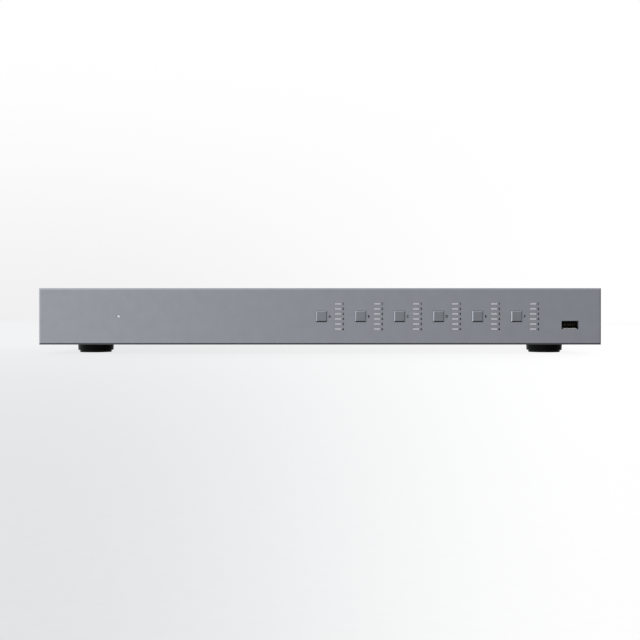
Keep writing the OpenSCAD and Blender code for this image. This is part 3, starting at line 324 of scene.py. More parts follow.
def rubber(name, colour):
    """Soft moulded rubber: matt, dusty in its pores and scuffed where it stands."""
    f = Finish(name, {"Specular IOR Level": 0.3})
    pores = f.noise(0.25 * MM, detail=4, roughness=0.7)
    dust = f.noise(4 * MM, detail=5)
    dusty = f.mix(f.spread(dust, 0, 0.5, start=0.45, end=0.75), colour, shade(colour, 2.6))
    f.set("Base Color", f.mix(f.times(f.edges(0.3 * MM), 0.4), dusty, shade(colour, 2.2)))
    f.set("Roughness", f.spread(pores, 0.7, 0.9))
    f.bump(pores, 0.03 * MM)


def frosted(name, colour, glow=0.0):
    """Frosted light-guide plastic: cloudy, and glowing evenly by the strength glow."""
    f = Finish(name, {"IOR": 1.49, "Emission Strength": glow})
    clouds = f.noise(1.3 * MM, detail=3)
    frost = f.noise(0.12 * MM, detail=3)
    f.set("Base Color", f.mix(f.spread(clouds, 0, 1), shade(colour, 0.92), shade(colour, 1.05)))
    f.set("Emission Color", f.mix(f.spread(clouds, 0, 1), shade(colour, 0.95), colour))
    f.set("Roughness", f.spread(frost, 0.4, 0.58))
    f.bump(frost, 0.006 * MM)


TRACK_PITCH = 0.9 * MM
TINNED = srgb(205, 205, 198)


def circuit_board(name, mask):
    """Solder mask over tracks: blocks of parallel lines, tinned holes and a glossy coat."""
    f = Finish(name, {"Coat Weight": 0.5, "Coat Roughness": 0.15})
    place = f.split(f.place)
    blocks = f.cells(9 * MM, randomness=0.75, distance="CHEBYCHEV")
    pick = f.node("ShaderNodeSeparateColor", {"Color": blocks.outputs["Color"]})
    way = f.math("GREATER_THAN", pick.outputs["Red"], 0.5)
    # Lines run across the board in some blocks and along it in the others. A board that
    # stands upright has its height in Z, so Y and Z are added.
    across = f.math("PINGPONG", place["X"], TRACK_PITCH / 2)
    along = f.math("PINGPONG", f.math("ADD", place["Y"], place["Z"]), TRACK_PITCH / 2)
    lines = f.math("ADD", f.times(across, way), f.times(along, f.math("SUBTRACT", 1.0, way)))
    track = f.spread(lines, 0, 1, start=0.24 * TRACK_PITCH, end=0.28 * TRACK_PITCH)
    filled = f.times(track, f.math("GREATER_THAN", pick.outputs["Green"], 0.22))
    dots = f.cells(3.1 * MM, randomness=0.55).outputs["Distance"]
    hole = f.spread(dots, 1, 0, start=0.1, end=0.13)
    weave = f.noise(0.4 * MM, detail=2)
    ground = f.mix(f.spread(weave, 0, 1), shade(mask, 0.85), shade(mask, 1.15))
    tracked = f.mix(f.times(filled, 0.7), ground, shade(mask, 2.1))
    f.set("Base Color", f.mix(hole, tracked, TINNED))
    f.set("Metallic", f.times(hole, 0.9))
    f.set("Roughness", f.spread(weave, 0.33, 0.45))
    f.bump(f.math("ADD", filled, f.times(hole, 1.5)), 0.03 * MM)


def ink(name, colour):
    """Screen-printed ink: slightly uneven and matt."""
    f = Finish(name, {"Specular IOR Level": 0.35})
    mesh_grain = f.noise(0.09 * MM, detail=2)
    f.set("Base Color", f.mix(f.spread(mesh_grain, 0, 1), shade(colour, 0.85),
                              shade(colour, 1.2)))
    f.set("Roughness", f.spread(mesh_grain, 0.5, 0.65))
    f.bump(mesh_grain, 0.004 * MM)


# The socket's shell is painted dark behind its lips, as painted shade
USB_LIPS = 0.6 * MM

anodised("aluminium", srgb(170, 173, 179), 0.42)
anodised("button_aluminium_painted_light", srgb(152, 156, 161), 0.36, grain=0.16 * MM, painted_bevel_light=1.6)
anodised("sink", srgb(58, 59, 62), 0.5)
powder_coat("case_paint", srgb(46, 48, 51), srgb(118, 120, 123))
powder_coat("pan_paint", srgb(40, 42, 44), srgb(120, 121, 123))
rubber("rubber", srgb(13, 13, 13))
metal("plated_steel", srgb(190, 190, 188), 0.3, stretch=(1, 0.15, 1))
metal("screw_black", srgb(70, 71, 74), 0.38)
metal("brass", srgb(206, 176, 112), 0.3, stretch=(1, 1, 0.3))
metal("contact_gold", srgb(226, 186, 104), 0.24, stretch=(1, 0.2, 1))
metal("usb_steel_painted_light", srgb(224, 224, 221), 0.4, painted_shade_from=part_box("usb_shell")[0].y + USB_LIPS)
metal("solder_tin", srgb(196, 197, 200), 0.28)
circuit_board("board", srgb(24, 78, 48))
circuit_board("brown_board", srgb(150, 108, 62))
frosted("guide", srgb(210, 208, 214))
frosted("lens", srgb(232, 234, 238), glow=0.12)
frosted("led", srgb(228, 214, 160))
ink("dark_ink", srgb(20, 22, 26))
ink("white_ink", srgb(212, 212, 208))
moulded("foot_plastic", srgb(5, 5, 6), 0.34, shine=0.08)
moulded("white_plastic", srgb(196, 194, 188), 0.4)
moulded("black_plastic", srgb(33, 34, 36), 0.44)
moulded("green_plastic", srgb(44, 120, 66), 0.4)
moulded("cable_grey", srgb(150, 152, 155), 0.5)
moulded("chip", srgb(44, 45, 47), 0.55, grain=0.14 * MM)
moulded("ferrite", srgb(70, 68, 66), 0.6, grain=0.2 * MM, depth=0.03 * MM)
moulded("can", srgb(36, 40, 66), 0.3)
moulded("tape", srgb(206, 172, 62), 0.3, grain=0.5 * MM)
moulded("boot", srgb(150, 44, 38), 0.35)
WIRES = {"brown": (106, 62, 38), "blue": (44, 88, 168), "earth": (88, 140, 50),
         "black": (26, 26, 28), "red": (172, 40, 34)}
for name, colour in WIRES.items():
    moulded(f"wire_{name}", srgb(*colour), 0.45)
finishes["wire"] = finishes["wire_brown"]


# Softened edges on CAD nodes, by modifiers alone

# Edges sharper than the first angle are rounded and stay creases. Faces that meet at less
# than the second are one flat face.
SHARP = math.radians(32)
FLAT = math.radians(0.6)


def node_group(name):
    group = bpy.data.node_groups.new(name, "GeometryNodeTree")
    group.interface.new_socket("Geometry", in_out="INPUT", socket_type="NodeSocketGeometry")
    group.interface.new_socket("Geometry", in_out="OUTPUT", socket_type="NodeSocketGeometry")
    return group, group.nodes.new("NodeGroupInput"), group.nodes.new("NodeGroupOutput")


def chain(group, *made):
    """Links geometry through these nodes in turn."""
    for first, second in zip(made, made[1:]):
        group.links.new(first.outputs[0], second.inputs[0])


def joined_group():
    """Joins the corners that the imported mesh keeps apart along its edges."""
    group, start, end = node_group("joined")
    loose = group.nodes.new("GeometryNodeRemoveAttribute")
    loose.inputs["Name"].default_value = "custom_normal"
    merge = group.nodes.new("GeometryNodeMergeByDistance")
    merge.inputs["Distance"].default_value = SAME
    chain(group, start, loose, merge, end)
    return group


def smooth_group():
    """Shades smooth wherever two faces meet at less than the sharp angle."""
    group, start, end = node_group("smooth")
    faces = group.nodes.new("GeometryNodeSetShadeSmooth")
    creases = group.nodes.new("GeometryNodeSetShadeSmooth")
    creases.domain = "EDGE"
    creases.inputs["Shade Smooth"].default_value = False
    angle = group.nodes.new("GeometryNodeInputMeshEdgeAngle")
    sharp = group.nodes.new("FunctionNodeCompare")
    sharp.operation = "GREATER_THAN"
    sharp.inputs[1].default_value = SHARP
    group.links.new(angle.outputs["Unsigned Angle"], sharp.inputs[0])
    group.links.new(sharp.outputs[0], creases.inputs["Selection"])
    chain(group, start, faces, creases, end)
    return group


JOINED = joined_group()
SMOOTH = smooth_group()


def dress(name, edge, finish):
    """Gives a CAD node a finish, or else its slot's, and rounds its sharp edges by edge."""
    node = nodes[name]
    slot = node.material_slots[0].material.name.split(".")[0]
    for k in range(len(node.data.materials)):
        node.data.materials[k] = finishes[finish or slot]
    node.modifiers.new("joined", "NODES").node_group = JOINED
    flat = node.modifiers.new("flat", "DECIMATE")
    flat.decimate_type = "DISSOLVE"
    flat.angle_limit = FLAT
    if edge:
        round_edge = node.modifiers.new("edge", "BEVEL")
        round_edge.width = edge
        round_edge.segments = 2
        round_edge.limit_method = "ANGLE"
        round_edge.angle_limit = SHARP
    node.modifiers.new("smooth", "NODES").node_group = SMOOTH
    even = node.modifiers.new("even", "WEIGHTED_NORMAL")
    even.weight = 100
    even.keep_sharp = True


# Nodes whose edges are rounded, by the width in millimetres
WIDTHS = {
    0.05: "usb_shell",
    0.1: "front_board status_lens main_board supply_board",
    0.12: "front_panel rear_panel video_sockets serial_pins fan_rotor case_screws fan_screws",
    0.15: "base_pan top_cover foot_pads usb_tongue video_tongues network_socket serial_socket",
    0.2: "switch_bodies heat_sink audio_jacks",
    0.25: "matrix_chips mains_inlet inlet_pins rocker_frame",
    0.3: "ribbon_sockets rocker fan_frame",
    0.7: "foot_front_left foot_front_right foot_rear_left foot_rear_right",
}
edges = {name: width for width, names in WIDTHS.items() for name in names.split()}
# Nodes whose finish is another than that of their slot
OTHER_FINISHES = {"usb_tongue": "foot_plastic", "usb_shell": "usb_steel_painted_light"}
for k in ZONES:
    edges[f"light_guide_{k}"] = 0.08
    edges[f"button_{k}"] = 0.09
    OTHER_FINISHES[f"button_{k}"] = "button_aluminium_painted_light"
for name in sorted(nodes):
    dress(name, edges.get(name, 0) * MM, OTHER_FINISHES.get(name))


# Shapes that several pieces use


def turned(degrees, axis):
    return Matrix.Rotation(math.radians(degrees), 4, axis)


def facing_front(x, y, z):
    """A place whose own Z looks to the front."""
    return Matrix.Translation((x, y, z)) @ turned(90, "X")


def facing_rear(x, y, z):
    return Matrix.Translation((x, y, z)) @ turned(180, "Z") @ turned(90, "X")


def block(mesh, low, high, edge, place=None, segments=1):
    """A block between two corners with rounded edges, moved by place."""
    low, high = Vector(low), Vector(high)
    made = bmesh.ops.create_cube(mesh, size=1.0)["verts"]
    shape = Matrix.Translation((low + high) / 2) @ Matrix.Diagonal((*(high - low), 1))
    bmesh.ops.transform(mesh, matrix=(place or Matrix()) @ shape, verts=made)
    rims = list(dict.fromkeys(rim for vert in made for rim in vert.link_edges))
    bmesh.ops.bevel(mesh, geom=rims, offset=edge, segments=segments, profile=0.5,
                    affect="EDGES", clamp_overlap=True)


def skin(mesh, rings):
    """Joins rings of corners in turn. A ring may be a single corner."""
    for first, second in zip(rings, rings[1:]):
        for k in range(max(len(first), len(second))):
            corners = [first[k % len(first)], first[(k + 1) % len(first)],
                       second[(k + 1) % len(second)], second[k % len(second)]]
            mesh.faces.new(list(dict.fromkeys(corners)))


def close(mesh, rings):
    """Joins rings of corners in turn, and closes the first and the last."""
    skin(mesh, rings)
    mesh.faces.new(list(reversed(rings[0])))
    mesh.faces.new(rings[-1])


def ring(mesh, place, outline, z):
    """Corners along an outline in the X and Y of place, at the height z."""
    return [mesh.verts.new(place @ Vector((x, y, z))) for x, y in outline]


def circle(steps, start=0):
    """Points round a circle of radius 1, from a part of a step on."""
    angles = [2 * math.pi * (k + start) / steps for k in range(steps)]
    return [(math.cos(angle), math.sin(angle)) for angle in angles]


def lathe(mesh, profile, place, steps=36):
    """Turns a profile of (radius, height) points about the Z axis of place."""
    rings = []
    for radius, height in profile:
        around = circle(steps) if radius else [(0, 0)]
        rings.append(ring(mesh, place, [(radius * x, radius * y) for x, y in around], height))
    skin(mesh, rings)


def directions(points):
    """The way that a line runs at each of its points."""
    last = len(points) - 1
    return [(points[min(k + 1, last)] - points[max(k - 1, 0)]).normalized()
            for k in range(last + 1)]


def tube(mesh, points, radius, sides):
    """A round wire along points, closed at both ends."""
    points = [Vector(p) for p in points]
    ways = directions(points)
    side = ways[0].orthogonal().normalized()
    rings = []
    for point, way in zip(points, ways):
        side = (side - way * side.dot(way)).normalized()
        other = way.cross(side)
        rings.append([mesh.verts.new(point + radius * (side * x + other * y))
                      for x, y in circle(sides)])
    close(mesh, rings)


def leaf(mesh, points, across, thickness):
    """A strip of spring metal along points, as wide as the vector across is long."""
    points = [Vector(p) for p in points]
    across = Vector(across)
    rings = []
    for point, way in zip(points, directions(points)):
        lift = across.cross(way).normalized() * thickness / 2
        rings.append([mesh.verts.new(point + s * across / 2 + t * lift)
                      for s, t in ((-1, -1), (1, -1), (1, 1), (-1, 1))])
    close(mesh, rings)


def rounded(half_w, half_h, radius, steps=5):
    """Corners of a rectangle with round corners, anticlockwise."""
    corners = []
    for k, (x, y) in enumerate(((1, 1), (-1, 1), (-1, -1), (1, -1))):
        for step in range(steps + 1):
            angle = math.radians(90) * (k + step / steps)
            corners.append((x * (half_w - radius) + radius * math.cos(angle),
                            y * (half_h - radius) + radius * math.sin(angle)))
    return corners


def piece(name, mesh, finish, body=CHASSIS, replaced=()):
    """Makes an object of the mesh, which rides on a body."""
    bmesh.ops.recalc_face_normals(mesh, faces=mesh.faces)
    data = bpy.data.meshes.new(name)
    mesh.to_mesh(data)
    mesh.free()
    data.materials.append(finishes[finish])
    for face in data.polygons:
        face.use_smooth = True
    data.set_sharp_from_angle(angle=SHARP)
    made = placed(name, data)
    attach(made, body)
    if replaced:
        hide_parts(*replaced)


INK_T = 0.02 * MM
FONT_OVER_CAPITALS = 1.4


def written(mesh, text, height, place, bold=0.02):
    """Thin lettering, its middle at the origin of place, seen from the +Z of place.

    Its strokes are thickened on each side by bold times its height.
    """
    data = bpy.data.curves.new("lettering", "FONT")
    data.body = text
    data.extrude = INK_T / 2
    data.resolution_u = 4
    data.size = height * FONT_OVER_CAPITALS
    data.offset = height * bold
    letters = placed("lettering", data)
    bpy.context.view_layer.update()
    shape = bpy.data.meshes.new_from_object(letters)
    bpy.data.objects.remove(letters)
    low, high = extent([vert.co for vert in shape.vertices])
    real = height / (high.y - low.y)
    size = Matrix.Diagonal((real, real, 1, 1))
    shape.transform(place @ size @ Matrix.Translation(-(low + high) / 2))
    mesh.from_mesh(shape)
    bpy.data.meshes.remove(shape)


# Printing on the front panel: a letter for each button and a digit for each window

LETTER_OFFSET = 6.5 * MM
DIGIT_OFFSET = 17.05 * MM
LABEL_H = 2.05 * MM
BOLD = 0.07


def front_printing():
    mesh = bmesh.new()
    y = panel_low.y - INK_T / 2
    led_z = sorted({round(mean(low, high)[2], 6) for low, high in boxes("indicator_leds")
                    if low.x > 0}, reverse=True)
    for x, letter in zip(button_x, "ABCDEF"):
        written(mesh, letter, LABEL_H, facing_front(x + LETTER_OFFSET, y, mid_z), BOLD)
        for z, digit in zip(led_z, "123456"):
            written(mesh, digit, LABEL_H, facing_front(x + DIGIT_OFFSET, y, z), BOLD)
    piece("front_printing", mesh, "dark_ink")


# USB socket: contacts under the tongue and springs in the shell

# Middle and width of each contact, and depth and lift of a spring's points, in millimetres
USB_CONTACTS = ((-3.5, 1.2), (-1.0, 1.0), (1.0, 1.0), (3.5, 1.2))
USB_SPRING = ((9.5, 0), (6.5, 0.12), (4.2, 0.42), (3.4, 0.48), (2.6, 0.4), (1.9, 0.15))
USB_CONTACT_HALF_T = 0.18 * MM
USB_CONTACT_FRONT = 0.8 * MM
USB_CONTACT_REAR = 1 * MM
USB_SPRING_X = 3.1 * MM
USB_SPRING_Z = 2.35 * MM
USB_SPRING_W = 2 * MM
USB_SPRING_T = 0.2 * MM


def usb_details():
    low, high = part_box("usb_tongue")
    shell_low, shell_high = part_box("usb_shell")
    x = (low.x + high.x) / 2
    shell_z = (shell_low.z + shell_high.z) / 2
    contacts = bmesh.new()
    for place, width in USB_CONTACTS:
        left = x + (place - width / 2) * MM
        block(contacts, (left, low.y + USB_CONTACT_FRONT, low.z - USB_CONTACT_HALF_T),
              (left + width * MM, high.y - USB_CONTACT_REAR, low.z + USB_CONTACT_HALF_T),
              edge=0.06 * MM)
    piece("usb_contacts", contacts, "contact_gold")
    springs = bmesh.new()
    for side in (-1, 1):
        for up in (-1, 1):
            points = [(x + side * USB_SPRING_X, shell_low.y + depth * MM,
                       shell_z + up * (USB_SPRING_Z - lift * MM)) for depth, lift in USB_SPRING]
            leaf(springs, points, (USB_SPRING_W, 0, 0), USB_SPRING_T)
    piece("usb_springs", springs, "usb_steel_painted_light")


# Video ports: nineteen contacts on each tongue, and two springs above it

UPPER_CONTACTS = 10
LOWER_CONTACTS = 9
CONTACT_PITCH = 1 * MM
CONTACT_W = 0.44 * MM
CONTACT_HALF_T = 0.05 * MM
CONTACT_FRONT = 0.7 * MM
CONTACT_REAR = 1 * MM
PORT_TOP = 2.3 * MM
PORT_SPRING_X = 3.6 * MM
PORT_SPRING_W = 1.6 * MM
PORT_SPRING_T = 0.18 * MM
# Depth and drop of a spring's points, in millimetres
PORT_SPRING = ((8.5, 0), (6, 0.15), (3.5, 0.55), (2.6, 0.6), (1.8, 0.5), (1, 0.2))


def video_details():
    contacts = bmesh.new()
    springs = bmesh.new()
    for low, high in boxes("video_tongues"):
        x = (low.x + high.x) / 2
        for count, z in ((UPPER_CONTACTS, high.z), (LOWER_CONTACTS, low.z)):
            for k in range(count):
                left = x + (k - (count - 1) / 2) * CONTACT_PITCH - CONTACT_W / 2
                block(contacts, (left, low.y + CONTACT_REAR, z - CONTACT_HALF_T),
                      (left + CONTACT_W, high.y - CONTACT_FRONT, z + CONTACT_HALF_T),
                      edge=0.015 * MM)
        top = (low.z + high.z) / 2 + PORT_TOP
        for side in (-1, 1):
            points = [(x + side * PORT_SPRING_X, high.y - depth * MM, top - drop * MM)
                      for depth, drop in PORT_SPRING]
            leaf(springs, points, (PORT_SPRING_W, 0, 0), PORT_SPRING_T)
    piece("video_contacts", contacts, "contact_gold")
    piece("video_springs", springs, "plated_steel")


# Network socket: eight contact wires and two small indicator windows

NETWORK_CONTACTS = 8
NETWORK_PITCH = 1.02 * MM
NETWORK_WIRE_R = 0.2 * MM
NETWORK_MOUTH_TOP = 10.7 * MM
# Depth and drop of a wire's points, in millimetres
NETWORK_WIRE = ((2.2, -0.1), (2.6, 0.35), (3.2, 0.6), (6, 1.5), (9.5, 2.7), (12.8, 3.1))
# Corners of a window, from its own middle, the socket's mouth and its foot
NETWORK_LIGHT = (Vector((-1.6, -2, 11.35)) * MM, Vector((1.6, 0.12, 12.75)) * MM)
NETWORK_LIGHT_X = 4.9 * MM


def network_details():
    low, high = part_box("network_socket")
    x = (low.x + high.x) / 2
    wires = bmesh.new()
    for k in range(NETWORK_CONTACTS):
        wire_x = x + (k - (NETWORK_CONTACTS - 1) / 2) * NETWORK_PITCH
        points = [(wire_x, high.y - depth * MM, low.z + NETWORK_MOUTH_TOP - drop * MM)
                  for depth, drop in NETWORK_WIRE]
        tube(wires, points, NETWORK_WIRE_R, sides=8)
    piece("network_contacts", wires, "contact_gold")
    for side, name in ((-1, "network_light_left"), (1, "network_light_right")):
        window = bmesh.new()
        place = Matrix.Translation((x + side * NETWORK_LIGHT_X, high.y, low.z))
        block(window, *NETWORK_LIGHT, edge=0.2 * MM, place=place, segments=2)
        piece(name, window, "led")


# Jacks: a plated ring round each bore, as radius and height in millimetres

JACK_RING = ((1.82, -7), (1.82, 0.05), (1.95, 0.18), (2.55, 0.18), (2.7, 0.05), (2.7, -0.3),
             (1.9, -0.3), (1.9, -7), (1.82, -7))


def jack_details():
    rings = bmesh.new()
    for low, high in boxes("audio_jacks"):
        place = Matrix.Translation(((low.x + high.x) / 2, high.y, (low.z + high.z) / 2))
        lathe(rings, [(r * MM, h * MM) for r, h in JACK_RING], place @ turned(-90, "X"))
    piece("jack_rings", rings, "plated_steel")


# Port chips: legs round each, a dot at its first leg, and small parts beside it

PORT_CHIP_MAX_W = 20 * MM
LEG_PITCH = 0.8 * MM
LEG_W = 0.32 * MM
LEG_T = 0.12 * MM
LEG_FOOT_Z = 0.07 * MM
LEG_KNEE = 0.3 * MM
LEG_ANKLE = 0.5 * MM
LEG_TIP = 1 * MM
LEG_ROOT_IN = 0.05 * MM
DOT_INSET = 1.3 * MM
# Radius and height in millimetres
DOT = ((0, 0.015), (0.5, 0.015), (0.52, 0), (0.5, -0.01), (0, -0.01))
# Two rows of five small parts lie behind each port chip
PART_ROWS = 2
PART_COLUMNS = 5
PART_PITCH = 2.4 * MM
FIRST_ROW = 3.4 * MM
ROW_PITCH = 2.8 * MM
# Half width, half length and height of a part and of its two soldered ends
PART = (0.38 * MM, 0.55 * MM, 0.5 * MM)
PART_END = (0.42 * MM, 0.17 * MM, 0.54 * MM)
PART_END_Y = 0.65 * MM


def chip_details():
    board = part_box("main_board")[1].z
    legs = bmesh.new()
    dots = bmesh.new()
    parts = bmesh.new()
    ends = bmesh.new()

    def lay(mesh, x, y, size, edge):
        """A block that lies on the board."""
        half_w, half_l, tall = size
        block(mesh, (x - half_w, y - half_l, board), (x + half_w, y + half_l, board + tall),
              edge)

    for low, high in boxes("matrix_chips"):
        if high.x - low.x > PORT_CHIP_MAX_W:
            continue
        x, y, z = mean(low, high)
        half = (high.x - low.x) / 2
        count = int(2 * half / LEG_PITCH) - 2
        foot = board + LEG_FOOT_Z
        line = ((half - LEG_ROOT_IN, z), (half + LEG_KNEE, z), (half + LEG_ANKLE, foot),
                (half + LEG_TIP, foot))
        centre = Matrix.Translation((x, y, 0))
        for side in range(4):
            turn = centre @ turned(90 * side, "Z")
            across = turn.to_3x3() @ Vector((0, LEG_W, 0))
            for k in range(count):
                along = (k - (count - 1) / 2) * LEG_PITCH
                leaf(legs, [turn @ Vector((out, along, up)) for out, up in line], across, LEG_T)
        corner = centre @ Matrix.Translation((DOT_INSET - half, DOT_INSET - half, high.z))
        lathe(dots, [(r * MM, h * MM) for r, h in DOT], corner, steps=20)
        for row in range(PART_ROWS):
            for k in range(PART_COLUMNS):
                part_x = x + (k - (PART_COLUMNS - 1) / 2) * PART_PITCH
                part_y = high.y + FIRST_ROW + ROW_PITCH * row
                lay(parts, part_x, part_y, PART, 0.05 * MM)
                for end in (-1, 1):
                    lay(ends, part_x, part_y + end * PART_END_Y, PART_END, 0.07 * MM)
    piece("chip_legs", legs, "solder_tin")
    piece("chip_dots", dots, "white_ink")
    piece("small_parts", parts, "ferrite")
    piece("small_part_ends", ends, "solder_tin")


# Front board: soldered ends of the lights, and the metal plates of the switches

LIGHT_END_HALF_W = 0.3 * MM
LIGHT_END_D = 0.4 * MM
LIGHT_END_INSET = 0.15 * MM
PLATE_T = 0.2 * MM
PLATE_INSET = 0.15 * MM
PLATE_HOLE_R = 2.05 * MM
PLATE_STEPS = 32


def front_board_details():
    ends = bmesh.new()
    for low, high in boxes("indicator_leds"):
        for x in (low.x, high.x):
            block(ends, (x - LIGHT_END_HALF_W, high.y - LIGHT_END_D, low.z + LIGHT_END_INSET),
                  (x + LIGHT_END_HALF_W, high.y, high.z - LIGHT_END_INSET), edge=0.1 * MM)
    piece("light_ends", ends, "solder_tin")
    plates = bmesh.new()
    ways = circle(PLATE_STEPS, start=0.5)
    hole = [(x * PLATE_HOLE_R, y * PLATE_HOLE_R) for x, y in ways]
    for low, high in boxes("switch_bodies"):
        place = facing_front((low.x + high.x) / 2, low.y, (low.z + high.z) / 2)
        half = (high.x - low.x) / 2 - PLATE_INSET
        square = [(x * half / max(abs(x), abs(y)), y * half / max(abs(x), abs(y)))
                  for x, y in ways]
        skin(plates, [ring(plates, place, outline, z) for outline, z in (
            (square, 0), (square, PLATE_T), (hole, PLATE_T), (hole, 0), (square, 0))])
    bmesh.ops.remove_doubles(plates, verts=plates.verts, dist=SAME)
    piece("switch_plates", plates, "plated_steel")


# Capacitors: a shrunk sleeve with a groove, and a scored metal top

# Inset from the radius, and height from the foot or depth from the top, in millimetres
SLEEVE_FOOT = ((0.6, 0), (0, 0.5), (0, 1.3), (0.35, 1.8), (0.35, 2.2), (0, 2.7))
SLEEVE_TOP = ((0, 0.9), (0.15, 0.4), (0.5, 0.1), (0.8, 0), (1.1, 0.1), (1.1, 0.4))
TOP_RADIUS_INSET = 1.15 * MM
TOP_DEPTH = 0.4 * MM
TOP_T = 0.2 * MM
SCORE_HALF_W = 0.12 * MM
ARC_STEPS = 8


def capacitors():
    sleeves = bmesh.new()
    tops = bmesh.new()
    for low, high in boxes("supply_capacitors"):
        place = Matrix.Translation(((low.x + high.x) / 2, (low.y + high.y) / 2, low.z))
        radius = (high.x - low.x) / 2
        tall = high.z - low.z
        foot = [(radius - inset * MM, height * MM) for inset, height in SLEEVE_FOOT]
        top = [(radius - inset * MM, tall - depth * MM) for inset, depth in SLEEVE_TOP]
        lathe(sleeves, [(0, 0)] + foot + top + [(0, tall - TOP_DEPTH)], place, steps=40)
        reach = radius - TOP_RADIUS_INSET
        start = math.asin(SCORE_HALF_W / reach)
        sweep = math.radians(90) - 2 * start
        angles = [start + sweep * k / ARC_STEPS for k in range(ARC_STEPS + 1)]
        outline = [(SCORE_HALF_W, SCORE_HALF_W)]
        outline += [(reach * math.cos(angle), reach * math.sin(angle)) for angle in angles]
        for quarter in range(4):
            turn = place @ turned(90 * quarter, "Z")
            close(tops, [ring(tops, turn, outline, height)
                         for height in (tall - TOP_DEPTH, tall - TOP_DEPTH + TOP_T)])
    piece("capacitor_sleeves", sleeves, "can", replaced=("supply_capacitors",))
    piece("capacitor_tops", tops, "plated_steel")


# Transformer: two E-shaped core halves, a bobbin and its taped winding

WINDING_W = 22 * MM
WINDING_D = 24 * MM
CORE_H = 8 * MM
# Depth and inset of a bobbin's flange, in millimetres
FLANGE = ((0, 0.3), (0.3, 0), (1, 0), (1.2, 0.2))
FLANGE_CORNER = 1.5 * MM
# Place along a turn of tape, from 0 to 1, and its inset in millimetres
TAPE_TURN = ((0.02, 1.1), (0.1, 0.9), (0.9, 0.9), (0.98, 1.1))
TAPE_TURNS = 7
TAPE_CORNER = 4 * MM
TAPE_END = 1.3 * MM


def transformer():
    low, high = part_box("supply_transformer")
    centre = mean(low, high)
    outer_x, outer_y, winding_h = (high - low) / 2
    inner_x, inner_y = WINDING_W / 2, WINDING_D / 2
    core = bmesh.new()
    outline = [(-outer_x, -outer_y), (outer_x, -outer_y), (outer_x, 0), (inner_x, 0),
               (inner_x, -inner_y), (-inner_x, -inner_y), (-inner_x, 0), (-outer_x, 0)]
    for turn in (0, 180):
        place = Matrix.Translation(centre) @ turned(turn, "Z")
        close(core, [ring(core, place, outline, z) for z in (-CORE_H / 2, CORE_H / 2)])
    piece("transformer_core", core, "ferrite",
          replaced=("supply_transformer",))
    # The winding lies along Y, in turns of tape that step a little in and out
    along = facing_front(*centre)
    bobbin = bmesh.new()
    for end in (-1, 1):
        close(bobbin, [
            ring(bobbin, along, rounded(inner_x - inset * MM, winding_h - inset * MM,
                                        FLANGE_CORNER), end * (inner_y - depth * MM))
            for depth, inset in FLANGE])
    piece("transformer_bobbin", bobbin, "black_plastic")
    tape = bmesh.new()
    half = inner_y - TAPE_END
    close(tape, [
        ring(tape, along, rounded(inner_x - inset * MM, winding_h - inset * MM, TAPE_CORNER,
                                  steps=8), -half + 2 * half * (k + part) / TAPE_TURNS)
        for k in range(TAPE_TURNS) for part, inset in TAPE_TURN])
    piece("transformer_tape", tape, "tape")


# Ribbon cable: round conductors side by side, the first one red

CONDUCTORS = 16
RIBBON_T = 0.9 * MM
RIBBON_STEPS = 32
# Points across each conductor
BULGE_STEPS = 6


def ribbon():
    low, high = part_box("ribbon_cable")
    end_z = low.z + RIBBON_T / 2
    pitch = (high.x - low.x) / CONDUCTORS
    for name, first, count, finish in (("ribbon_first", 0, 1, "wire_red"),
                                       ("ribbon_rest", 1, CONDUCTORS - 1, "cable_grey")):
        mesh = bmesh.new()
        across = []
        for k in range(count * BULGE_STEPS + 1):
            bulge = abs(math.sin(math.pi * k / BULGE_STEPS))
            across.append((low.x + pitch * (first + k / BULGE_STEPS),
                           RIBBON_T / 4 * (1 + bulge)))
        rings = []
        for step in range(RIBBON_STEPS + 1):
            part = step / RIBBON_STEPS
            y = low.y + (high.y - low.y) * part
            z = mid_z + (end_z - mid_z) * (1 - math.cos(math.pi * part)) / 2
            rings.append([mesh.verts.new((x, y, z - half)) for x, half in across]
                         + [mesh.verts.new((x, y, z + half)) for x, half in reversed(across)])
        close(mesh, rings)
        piece(name, mesh, finish,
              replaced=("ribbon_cable",) if first else ())


# Power wires, in the same places as in the CAD model, with boots over the tabs

WIRE_R = 0.9 * MM
WIRE_STEPS = 24
# The rocker switch's two tabs above each other, and the wires to both sides of a tab
TAB_Z = 5 * MM
TAB_X = 1.2 * MM
# Where the wires end on the supply board, from its left, rear or front edge
MAINS_X = 16 * MM
MAINS_SPACING = 3 * MM
MAINS_Y = 4 * MM
EARTH_Y = 8 * MM
OUTPUT_Y = 40 * MM
OUTPUT_SPACING = 2 * MM
OUTPUT_X = 4 * MM
# Half width and half height of the boots, and depth and growth along one, in millimetres
PIN_BOOT = (1.9, 2.9)
TAB_BOOT = (3.3, 1.5)
BOOT = ((-5, -0.2), (-4.7, 0), (0, 0), (2.4, -0.25), (3, -0.45))
BOOT_CORNER = 0.7 * MM


